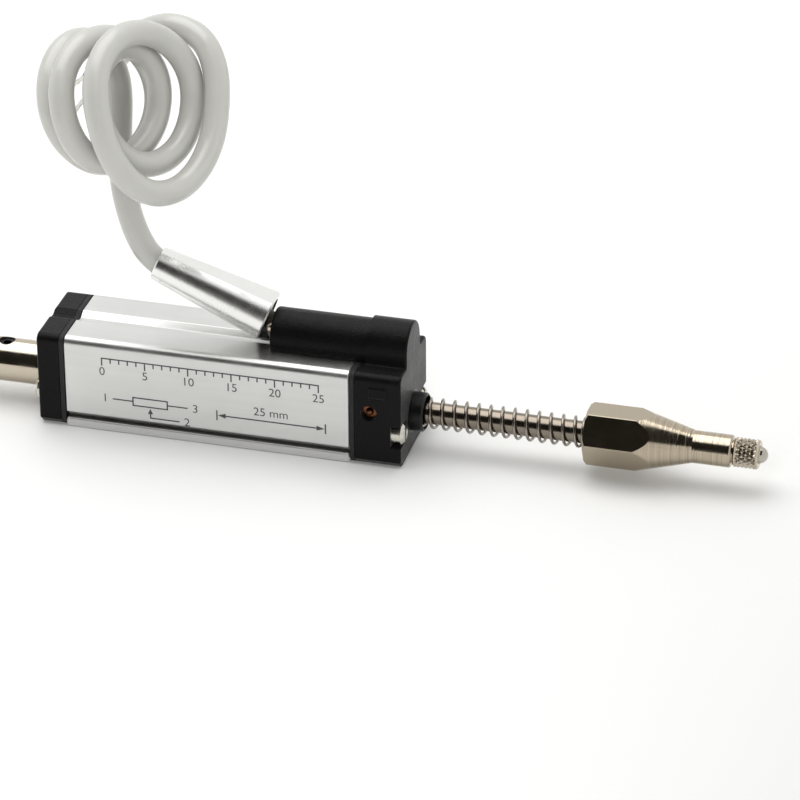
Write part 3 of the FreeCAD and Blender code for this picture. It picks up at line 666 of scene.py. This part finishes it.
class SENSOR_OT_caps(bpy.types.Operator):
    """Finishes of the end caps, the socket's hood, the gaskets, the grommet and the buffer washer"""

    bl_idname = "linear_sensor.caps"
    bl_label = "Caps and gaskets"

    def execute(self, context):
        colours = context.scene.sensor_finishes
        dress(moulded_black(colours), "front_cap", "rear_cap", "socket_hood")
        dress(black_rubber(colours), "front_gasket", "rear_gasket", "stop_washer", "plug_grommet")
        return {"FINISHED"}


class SENSOR_OT_connector(bpy.types.Operator):
    """Finishes of the plug and the socket's inner pieces, and of the bushes and the carriage"""

    bl_idname = "linear_sensor.connector"
    bl_label = "Plug, socket and guides"

    def execute(self, context):
        colours = context.scene.sensor_finishes
        dress(satin_shell(colours), "plug_shell")
        dress(smooth_nickel(colours), "plug_collar")
        dress(smooth_black(colours), "plug_elbow", "plug_insert", "socket_insert", "front_bush", "rear_bush",
              "wiper_carrier")
        dress(bright_brass(colours), "plug_pins", "socket_contacts", "wiper_fingers")
        return {"FINISHED"}


class SENSOR_OT_rod(bpy.types.Operator):
    """Finishes of the rod, the tip holder, the ball and the stop sleeve"""

    bl_idname = "linear_sensor.rod"
    bl_label = "Rod and tip"

    def execute(self, context):
        colours = context.scene.sensor_finishes
        dress(ground_steel(colours), "rod")
        dress(holder_nickel(colours), "tip_holder")
        dress(turned_nickel(colours), "stop_sleeve")
        dress(polished_ball(colours), "contact_ball")
        return {"FINISHED"}


class SENSOR_OT_fasteners(bpy.types.Operator):
    """Finishes of the screws, the clips and the lug"""

    bl_idname = "linear_sensor.fasteners"
    bl_label = "Screws and lug"

    def execute(self, context):
        colours = context.scene.sensor_finishes
        dress(zinc_plate(colours), "front_cap_screws", "rear_cap_screws")
        dress(black_oxide(colours), "sleeve_screw")
        dress(spring_wire(colours), "carrier_clips")
        dress(copper_tin(colours), "solder_lug")
        return {"FINISHED"}


class SENSOR_OT_element(bpy.types.Operator):
    """Finishes of the measuring element inside the housing"""

    bl_idname = "linear_sensor.element"
    bl_label = "Measuring element"

    def execute(self, context):
        colours = context.scene.sensor_finishes
        dress(board_laminate(colours), "resistor_board")
        dress(resistive_film(colours), "resistor_track", "collector_track")
        dress(flat_lead(colours), "lead_ribbon")
        return {"FINISHED"}


class SENSOR_OT_spring(bpy.types.Operator):
    """Return spring of round wire with closed, ground ends"""

    bl_idname = "linear_sensor.spring"
    bl_label = "Return spring"

    wire_sides = 12
    steps_per_turn = 30
    ground_share = 0.35
    closed_pitch = 1.02
    easing_turns = 0.4

    def execute(self, context):
        sizes = context.scene.sensor_spring
        low, high = SPRING_LOW.x, SPRING_HIGH.x
        wire = sizes.wire / 2
        mean = sizes.outside / 2 - wire
        ground = self.ground_share * sizes.wire
        count = round(sizes.turns * self.steps_per_turn)
        places = self.places_along(sizes, count, high - low - 2 * ground)
        vertices = []
        for step in range(count + 1):
            angle = sizes.start_angle + 2 * math.pi * step / self.steps_per_turn
            outward = Vector((0, math.cos(angle), math.sin(angle)))
            centre = Vector((low + ground + places[step], 0, AXIS_HEIGHT)) + outward * mean
            for side in range(self.wire_sides):
                turn = 2 * math.pi * side / self.wire_sides
                point = centre + outward * (wire * math.cos(turn)) + Vector((wire * math.sin(turn), 0, 0))
                point.x = min(max(point.x, low), high)
                vertices.append(point)
        mesh = mesh_from("return_spring_coils", vertices, ring_faces(count + 1, self.wire_sides))
        finish = spring_wire(context.scene.sensor_finishes)
        spring = new_piece("return_spring_coils", mesh, finish, "housing")
        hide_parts("return_spring")
        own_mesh(spring)
        return {"FINISHED"}

    def places_along(self, sizes, count, length):
        """Place of each step along the axis: closed turns at the ends and an even pitch between them."""
        weights = []
        for step in range(count):
            turn = (step + 0.5) / self.steps_per_turn
            from_end = min(turn, sizes.turns - turn) - sizes.closed
            weights.append(min(max(from_end / self.easing_turns + 0.5, 0.0), 1.0))
        closed_step = self.closed_pitch * sizes.wire / self.steps_per_turn
        open_step = (length - closed_step * count) / sum(weights)
        places = [0.0]
        for weight in weights:
            places.append(places[-1] + closed_step + open_step * weight)
        return places


class SENSOR_OT_contact_point(bpy.types.Operator):
    """Contact point's stem with a diamond knurl"""

    bl_idname = "linear_sensor.contact_point"
    bl_label = "Knurled contact point"

    sides = 264
    knurl_rings = 84
    run_outs = 8
    groove_width = 0.95
    seat_steps = 8
    seat_gap = 0.02 * MM
    seat_hole = 0.03
    stud_centre = 0.02 * MM
    sharp_angle = math.radians(32)

    def execute(self, context):
        sizes = context.scene.sensor_knurl
        vertices = []
        profile = self.profile(sizes)
        for x, radius, share in profile:
            for side in range(self.sides):
                angle = 2 * math.pi * side / self.sides
                reach = radius - share * sizes.depth * self.groove(sizes, x, side)
                vertices.append((x, reach * math.cos(angle), AXIS_HEIGHT + reach * math.sin(angle)))
        mesh = mesh_from("knurled_stem", vertices, ring_faces(len(profile), self.sides))
        mesh.set_sharp_from_angle(angle=self.sharp_angle)
        finish = knurled_nickel(context.scene.sensor_finishes)
        stem = new_piece("knurled_stem", mesh, finish, "rod")
        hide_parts("contact_stem")
        return {"FINISHED"}

    def groove(self, sizes, x, side):
        """Depth of the crossing grooves, from 0 on a diamond's top to 1 in a groove."""
        round_share = sizes.rows * side / self.sides
        along = x / sizes.pitch
        depth = 0.0
        for phase in (round_share + along, round_share - along):
            from_groove = abs(phase - round(phase)) * 2
            depth = max(depth, 1.0 - from_groove / self.groove_width)
        return min(max(depth, 0.0), 1.0)

    def profile(self, sizes):
        """Rings (x, radius, share of the knurl's depth) from the stud to the ball's seat."""
        stud, groove, grip = sizes.stud / 2, sizes.groove / 2, sizes.grip / 2
        grip_start = HOLDER_END + sizes.groove_length
        front = STEM_HIGH.x - sizes.lip
        rings = [(STEM_LOW.x, self.stud_centre, 0), (STEM_LOW.x, stud, 0), (HOLDER_END, stud, 0),
                 (HOLDER_END, groove, 0), (grip_start, groove, 0), (grip_start, grip - sizes.chamfer, 0)]
        start, end = grip_start + sizes.chamfer, front - sizes.chamfer
        for index in range(self.knurl_rings + 1):
            share = min(1.0, self.run_outs * min(index, self.knurl_rings - index) / self.knurl_rings)
            rings.append((start + (end - start) * index / self.knurl_rings, grip, share))
        rings += [(front, grip - sizes.chamfer, 0), (front, sizes.lip_base, 0),
                  (STEM_HIGH.x, sizes.lip_end, 0)]
        centre = (BALL_LOW.x + BALL_HIGH.x) / 2
        seat = (BALL_HIGH.x - BALL_LOW.x) / 2 + self.seat_gap
        first = math.acos((STEM_HIGH.x - centre) / seat)
        for index in range(self.seat_steps + 1):
            angle = first + (math.pi - self.seat_hole - first) * index / self.seat_steps
            rings.append((centre + seat * math.cos(angle), seat * math.sin(angle), 0))
        return rings


class SENSOR_OT_cable(bpy.types.Operator):
    """Cable from the plug, its coil and the open end"""

    bl_idname = "linear_sensor.cable"
    bl_label = "Cable"

    # Control points of the lead out of the plug, in millimetres
    lead = [(-9.9, 0.0, 29.9), (-12.4, 0.1, 31.4), (-14.8, 0.6, 34.9), (-16.7, 1.5, 39.4),
            (-18.0, 2.6, 44.4)]
    # Where the strands of the turns pass (across, along) the coil's axis, in millimetres
    strands = [(9.6, -18.6), (-9.4, -15.3), (12.7, -12.2), (-10.9, -10.4), (9.6, -8.2), (-7.9, -4.9),
               (13.9, -4.2), (-11.2, -0.9), (15.4, 0.6)]
    # How high each half turn between two strands reaches, in millimetres, and how much it leans
    crests = [(10.4, 0.0), (-11.0, 0.0), (10.6, 0.0), (-11.2, 0.1), (8.7, 0.0), (-11.6, 0.0),
              (10.9, -0.05), (-16.8, 0.0)]
    # Control points after the last strand (across, up, along), in millimetres
    tail = [(15.4, 5.6, 0.2), (14.6, 10.8, -2.2), (12.8, 13.4, -7.5), (11.8, 12.9, -13.5),
            (11.9, 11.0, -18.5), (12.6, 8.4, -23.0)]
    first_heights = (-8.0, -4.0)
    steps_per_half_turn = 8
    cores = 3
    core_sides = 20
    core_offset = 0.75 * MM
    core_start = 0.15 * MM
    # Rounded front edge of a core: distance from its end and from its side
    core_edge = [(0.2 * MM, 0.0), (0.05 * MM, 0.06 * MM), (0.0, 0.16 * MM)]
    # Ferrule: share of its length, and share of its radius with two crimped waists
    ferrule_shape = [(0.0, 1.0), (0.16, 1.0), (0.24, 0.86), (0.36, 0.86), (0.44, 1.0), (0.54, 1.0),
                     (0.62, 0.86), (0.74, 0.86), (0.82, 1.0), (0.96, 1.0), (1.0, 0.8)]
    sharp_angle = math.radians(35)

    def execute(self, context):
        sizes = context.scene.sensor_cable
        points = [Vector(point) * MM for point in self.lead]
        points += [self.on_coil(sizes, point) for point in self.coil_points() + self.tail]
        curve = bpy.data.curves.new("signal_cable", "CURVE")
        curve.dimensions = "3D"
        curve.bevel_depth = sizes.diameter / 2
        curve.bevel_resolution = 7
        curve.use_fill_caps = True
        spline = curve.splines.new("NURBS")
        spline.points.add(len(points) - 1)
        for place, point in zip(spline.points, points):
            place.co = (*point, 1)
        spline.order_u = 3
        spline.use_endpoint_u = True
        spline.resolution_u = 6
        colours = context.scene.sensor_finishes
        cable = new_piece("signal_cable", curve, cable_sheath(colours), "housing")
        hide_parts("cable_lead", "cable_coil", "cable_tail")
        cores = self.open_cores(sizes, colours, points[-1], (points[-1] - points[-2]).normalized())
        return {"FINISHED"}

    def open_cores(self, sizes, colours, end, axis):
        """Three insulated cores with tinned ferrules that spread from the sheath's end."""
        side = axis.cross(Vector((1, 0, 0))).normalized()
        vertices, faces, shades = [], [], []
        for index in range(self.cores):
            outward = Matrix.Rotation(2 * math.pi * index / self.cores, 3, axis) @ side
            along = Matrix.Rotation(sizes.core_spread, 3, axis.cross(outward)) @ axis
            foot = end + outward * self.core_offset + axis * self.core_start
            around = along.cross(outward).normalized()
            outer = around.cross(along)
            for shade, rings in ((index, self.core_rings(sizes)), (self.cores, self.ferrule_rings(sizes))):
                first = len(vertices)
                for place, radius in rings:
                    for step in range(self.core_sides):
                        angle = 2 * math.pi * step / self.core_sides
                        spoke = outer * math.cos(angle) + around * math.sin(angle)
                        vertices.append(foot + along * place + spoke * radius)
                made = ring_faces(len(rings), self.core_sides)
                faces += [tuple(first + corner for corner in face) for face in made]
                shades += [shade] * len(made)
        mesh = mesh_from("open_cores", vertices, faces)
        mesh.set_sharp_from_angle(angle=self.sharp_angle)
        cores = new_piece("open_cores", mesh, core_sleeve("Brown core", colours.brown_core), "housing")
        for finish in (core_sleeve("Blue core", colours.blue_core),
                       core_sleeve("Black core", colours.black_core), tinned_ferrule(colours)):
            mesh.materials.append(finish.material)
        mesh.polygons.foreach_set("material_index", shades)
        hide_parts("cable_cores")
        return cores

    def core_rings(self, sizes):
        """Rings (place, radius) of one insulated core, with a rounded front edge."""
        radius, length = sizes.core / 2, sizes.core_length
        rings = [(0.0, radius), (length / 3, radius), (2 * length / 3, radius)]
        return rings + [(length - back, radius - inward) for back, inward in self.core_edge]

    def ferrule_rings(self, sizes):
        """Rings (place, radius) of one ferrule."""
        start, radius, length = sizes.core_length, sizes.ferrule / 2, sizes.ferrule_length
        return [(start + share * length, radius * width) for share, width in self.ferrule_shape]

    def coil_points(self):
        """Points of the turns as (across, up, along), from the lead's foot to the last strand."""
        first_side, first_depth = self.strands[0]
        points = [(first_side, height, first_depth) for height in self.first_heights]
        swell = 1 / math.cos(math.pi / (2 * self.steps_per_half_turn))
        for index, (crest, skew) in enumerate(self.crests):
            (side, depth), (next_side, next_depth) = self.strands[index], self.strands[index + 1]
            middle, reach = (side + next_side) / 2, (side - next_side) / 2
            for step in range(self.steps_per_half_turn):
                share = step / self.steps_per_half_turn
                angle = math.pi * share
                across = middle + reach * swell * math.cos(angle)
                height = crest * swell * math.sin(angle) * (1 + skew * math.cos(angle))
                points.append((across, height, depth + (next_depth - depth) * share))
        last_side, last_depth = self.strands[-1]
        points.append((last_side, 0.0, last_depth))
        return points

    def on_coil(self, sizes, point):
        """Point in metres from its place in the coil's own directions, in millimetres."""
        ahead = Vector((math.cos(sizes.heading), math.sin(sizes.heading), 0))
        level = Vector((-math.sin(sizes.heading), math.cos(sizes.heading), 0))
        along = ahead * math.cos(sizes.rise) + Vector((0, 0, math.sin(sizes.rise)))
        steep = along.cross(level)
        up = steep * math.cos(sizes.lean) + level * math.sin(sizes.lean)
        across = level * math.cos(sizes.lean) - steep * math.sin(sizes.lean)
        return Vector(sizes.coil_place) + (across * point[0] + up * point[1] + along * point[2]) * MM


class SENSOR_OT_side_print(bpy.types.Operator):
    """Printed travel scale, circuit symbol and stroke arrow on the near side"""

    bl_idname = "linear_sensor.side_print"
    bl_label = "Side print"

    ticks = 26
    ticks_per_number = 5
    long_tick = 1.5 * MM
    short_tick = 0.9 * MM
    number_drop = 2.7 * MM
    number_gap = 1.4 * MM
    resistor_half = 3.2 * MM
    resistor_rise = 0.8 * MM
    resistor_lead = 7.0 * MM
    arrow_half = 0.5 * MM
    wiper_arrow = 1.1 * MM
    wiper_overlap = 0.1 * MM
    wiper_drop = 1.9 * MM
    wiper_lead = 5.4 * MM
    stroke_drop = 0.6 * MM
    stroke_arrow = 1.5 * MM
    stroke_end_line = 1.0 * MM
    stroke_word_rise = 1.7 * MM

    def execute(self, context):
        sizes = context.scene.sensor_print
        work = bmesh.new()
        self.scale(work, sizes)
        self.symbol(work, sizes)
        self.stroke(work, sizes)
        mesh = bpy.data.meshes.new("side_print")
        work.to_mesh(mesh)
        work.free()
        ink = new_piece("side_print", mesh, print_ink(context.scene.sensor_finishes), "housing")
        return {"FINISHED"}

    def patch(self, work, sizes, corners):
        """Flat patch of ink through corners (x, z) on the near side."""
        depth = NEAR_SIDE - sizes.thickness
        work.faces.new([work.verts.new((x, depth, z)) for x, z in corners])

    def bar(self, work, sizes, start, end):
        """Straight printed line between two points (x, z)."""
        first, last = Vector(start), Vector(end)
        along = (last - first).normalized()
        across = Vector((-along.y, along.x)) * (sizes.line / 2)
        self.patch(work, sizes, [first - across, last - across, last + across, first + across])

    def word(self, work, sizes, text, x, z):
        """Digits or a unit, with their middle at a point."""
        curve = bpy.data.curves.new("digits", "FONT")
        curve.body = text
        curve.size = sizes.digits
        curve.align_x = "CENTER"
        curve.align_y = "CENTER"
        holder = bpy.data.objects.new("digits", curve)
        mesh = bpy.data.meshes.new_from_object(holder)
        upright = Matrix.Rotation(math.pi / 2, 4, "X")
        mesh.transform(Matrix.Translation((x, NEAR_SIDE - sizes.thickness, z)) @ upright)
        work.from_mesh(mesh)
        bpy.data.objects.remove(holder)
        bpy.data.curves.remove(curve)
        bpy.data.meshes.remove(mesh)

    def scale(self, work, sizes):
        """Ticks below a base line, with a number at every fifth tick."""
        high = sizes.scale_height
        end = sizes.scale_start + (self.ticks - 1) * sizes.step
        edge = sizes.line / 2
        self.bar(work, sizes, (sizes.scale_start - edge, high), (end + edge, high))
        for index in range(self.ticks):
            place = sizes.scale_start + index * sizes.step
            numbered = index % self.ticks_per_number == 0
            drop = self.long_tick if numbered else self.short_tick
            self.bar(work, sizes, (place, high - edge), (place, high - drop))
            if numbered:
                self.word(work, sizes, str(index), place, high - self.number_drop)

    def symbol(self, work, sizes):
        """Potentiometer symbol with its three numbered ends."""
        middle, high, edge = sizes.symbol_place, sizes.symbol_height, sizes.line / 2
        half, rise, reach = self.resistor_half, self.resistor_rise, self.resistor_lead
        for z in (high - rise, high + rise):
            self.bar(work, sizes, (middle - half - edge, z), (middle + half + edge, z))
        for side, number in ((-1, "1"), (1, "3")):
            end = middle + side * half
            self.bar(work, sizes, (end, high - rise), (end, high + rise))
            near, far = sorted((end, middle + side * reach))
            self.bar(work, sizes, (near, high), (far, high))
            self.word(work, sizes, number, middle + side * (reach + self.number_gap), high)
        tip = high - rise - sizes.line
        base, low = tip - self.wiper_arrow, tip - self.wiper_drop
        left, right = middle - self.arrow_half, middle + self.arrow_half
        self.patch(work, sizes, [(middle, tip), (left, base), (right, base)])
        self.bar(work, sizes, (middle, base + self.wiper_overlap), (middle, low))
        self.bar(work, sizes, (middle - edge, low), (middle + self.wiper_lead, low))
        self.word(work, sizes, "2", middle + self.wiper_lead + self.number_gap, low)

    def stroke(self, work, sizes):
        """Arrow between two end lines, with the stroke above it."""
        start, end, high = sizes.stroke_start, sizes.stroke_end, sizes.symbol_height - self.stroke_drop
        low_corner, high_corner = high - self.arrow_half, high + self.arrow_half
        for place, inward in ((start, 1), (end, -1)):
            self.bar(work, sizes, (place, high - self.stroke_end_line), (place, high + self.stroke_end_line))
            tip = place + inward * sizes.line / 2
            base = tip + inward * self.stroke_arrow
            self.patch(work, sizes, [(tip, high), (base, low_corner), (base, high_corner)][::inward])
        self.bar(work, sizes, (start + self.stroke_arrow, high), (end - self.stroke_arrow, high))
        self.word(work, sizes, "25 mm", (start + end) / 2, high + self.stroke_word_rise)


class SENSOR_OT_stage(bpy.types.Operator):
    """Floor, light, surroundings and camera"""

    bl_idname = "linear_sensor.stage"
    bl_label = "Stage"

    sensor_width = 36.0
    side_walls_end = -0.1
    pale_wall_start = 0.4
    top_slant = (0.87, 0.2, 1.0)
    base_slant = (-0.74, 0.0, 1.0)
    to_right = (1.0, 0.0, 0.0)
    to_back = (0.0, 1.0, 0.0)
    dark_back = -0.2
    crisp_blur = 0.04
    soft_blur = 0.06

    def execute(self, context):
        sizes = context.scene.sensor_stage
        context.scene.view_settings.view_transform = "Standard"
        self.lay_floor(sizes)
        self.hang_light(sizes, "softbox", sizes.softbox_place, sizes.softbox_size, sizes.softbox_power)
        fill = self.hang_light(sizes, "fill", sizes.fill_place, sizes.fill_size, sizes.fill_power)
        fill.visible_glossy = False
        self.hang_card(sizes)
        self.paint_surroundings(context, sizes)
        self.set_camera(context, sizes)
        return {"FINISHED"}

    def set_up(self, name, corners, finish):
        """Flat piece of the stage through four corners."""
        mesh = mesh_from(name, corners, [(0, 1, 2, 3)])
        mesh.materials.append(finish.material)
        sheet = bpy.data.objects.new(name, mesh)
        bpy.context.scene.collection.objects.link(sheet)
        return sheet

    def lay_floor(self, sizes):
        half = sizes.floor_size / 2
        finish = patchy("Pale table", sizes.floor, spread=0.01, low=0.55, high=0.65, scale=12.0,
                        Specular_IOR_Level=0.25)
        corners = [(-half, -half, 0), (half, -half, 0), (half, half, 0), (-half, half, 0)]
        floor = self.set_up("floor", corners, finish)
        floor.location.z = CAD_LOW.z

    def hang_light(self, sizes, name, place, size, power):
        """Square light that is aimed at the middle of the picture."""
        light = bpy.data.lights.new(name, "AREA")
        light.shape = "SQUARE"
        light.size = size
        light.energy = power
        lamp = bpy.data.objects.new(name, light)
        aim = (Vector(sizes.camera_target) - Vector(place)).to_track_quat("-Z", "Y").to_matrix()
        lamp.matrix_world = Matrix.Translation(place) @ aim.to_4x4()
        bpy.context.scene.collection.objects.link(lamp)
        return lamp

    def hang_card(self, sizes):
        """Dark card over the tip, half as wide as long, that only the turned metal mirrors."""
        centre, half = Vector(sizes.card_place), sizes.card_size / 2
        leaning = Vector((0, math.cos(sizes.card_lean), math.sin(sizes.card_lean))) * half
        across = Vector((half / 2, 0, 0))
        near, far = centre - leaning, centre + leaning
        finish = patchy("Dark card", sizes.dark, spread=0.1, low=0.85, high=0.95, scale=12.0,
                        Specular_IOR_Level=0.0)
        card = self.set_up("card", [near - across, near + across, far + across, far - across], finish)
        card.visible_camera = False

    def paint_surroundings(self, context, sizes):
        """Bright wall behind the part, paler sides, and a dark wall behind the camera for the metal."""
        world = bpy.data.worlds.new("surroundings")
        world.use_nodes = True
        tree = world.node_tree
        facing = tree.nodes.new("ShaderNodeTexCoord").outputs["Generated"]
        split = tree.nodes.new("ShaderNodeSeparateXYZ")
        tree.links.new(facing, split.inputs[0])
        backwards = self.ramp(tree, split.outputs["Y"], self.side_walls_end, self.pale_wall_start)
        walls = add_mix(tree, backwards, sizes.side, sizes.pale)
        edges = [(self.top_slant, sizes.dark_top, -self.crisp_blur),
                 (self.base_slant, sizes.dark_base, self.crisp_blur),
                 (self.to_back, self.dark_back, -self.soft_blur),
                 (self.to_right, sizes.dark_right, -self.soft_blur),
                 (self.to_right, sizes.dark_left, self.soft_blur)]
        shade = None
        for slant, level, blur in edges:
            height = tree.nodes.new("ShaderNodeVectorMath")
            height.operation = "DOT_PRODUCT"
            tree.links.new(facing, height.inputs[0])
            height.inputs[1].default_value = slant
            inside = self.ramp(tree, height.outputs["Value"], level - blur, level + blur)
            shade = inside if shade is None else add_math(tree, "MULTIPLY", shade, inside)
        room = add_mix(tree, shade, walls, sizes.dark)
        in_view = tree.nodes.new("ShaderNodeLightPath").outputs["Is Camera Ray"]
        tree.links.new(add_mix(tree, in_view, room, sizes.pale), tree.nodes["Background"].inputs["Color"])
        tree.nodes["Background"].inputs["Strength"].default_value = sizes.wall_light
        context.scene.world = world

    def ramp(self, tree, value, low, high):
        """Soft step from 0 at low to 1 at high, whichever of them is larger."""
        node = tree.nodes.new("ShaderNodeMapRange")
        node.interpolation_type = "SMOOTHSTEP"
        node.inputs["From Min"].default_value = low
        node.inputs["From Max"].default_value = high
        tree.links.new(value, node.inputs["Value"])
        return node.outputs["Result"]

    def set_camera(self, context, sizes):
        data = bpy.data.cameras.new("camera")
        data.lens = sizes.lens
        data.sensor_width = self.sensor_width
        camera = bpy.data.objects.new("camera", data)
        place = Vector(sizes.camera_place)
        facing = (Vector(sizes.camera_target) - place).to_track_quat("-Z", "Y").to_matrix()
        turned = facing @ Matrix.Rotation(sizes.camera_roll, 3, "Z")
        camera.matrix_world = Matrix.Translation(place) @ turned.to_4x4()
        context.scene.collection.objects.link(camera)
        context.scene.camera = camera


class SENSOR_PT_pieces(bpy.types.Panel):
    """Lists the pieces in the order in which they are made"""

    bl_label = "Linear potentiometer"
    bl_idname = "SENSOR_PT_pieces"
    bl_space_type = "VIEW_3D"
    bl_region_type = "UI"
    bl_category = "Sensor"

    def draw(self, context):
        for operator in OPERATORS:
            self.layout.operator(operator.bl_idname)


SIZES = {
    "sensor_finishes": SensorFinishes,
    "sensor_spring": SensorSpring,
    "sensor_knurl": SensorKnurl,
    "sensor_cable": SensorCable,
    "sensor_print": SensorPrint,
    "sensor_stage": SensorStage,
}
OPERATORS = [
    SENSOR_OT_stage,
    SENSOR_OT_cable,
    SENSOR_OT_housing,
    SENSOR_OT_caps,
    SENSOR_OT_connector,
    SENSOR_OT_rod,
    SENSOR_OT_fasteners,
    SENSOR_OT_element,
    SENSOR_OT_spring,
    SENSOR_OT_contact_point,
    SENSOR_OT_side_print,
]


def register():
    for group in SIZES.values():
        bpy.utils.register_class(group)
    for operator in OPERATORS:
        bpy.utils.register_class(operator)
    bpy.utils.register_class(SENSOR_PT_pieces)
    for name, group in SIZES.items():
        setattr(bpy.types.Scene, name, PointerProperty(type=group))


def unregister():
    for name in SIZES:
        delattr(bpy.types.Scene, name)
    bpy.utils.unregister_class(SENSOR_PT_pieces)
    for operator in reversed(OPERATORS):
        bpy.utils.unregister_class(operator)
    for group in reversed(SIZES.values()):
        bpy.utils.unregister_class(group)


def main():
    """Builds every piece in order."""
    register()
    for operator in OPERATORS:
        category, name = operator.bl_idname.split(".")
        getattr(getattr(bpy.ops, category), name)()


if __name__ == "__main__":
    main()
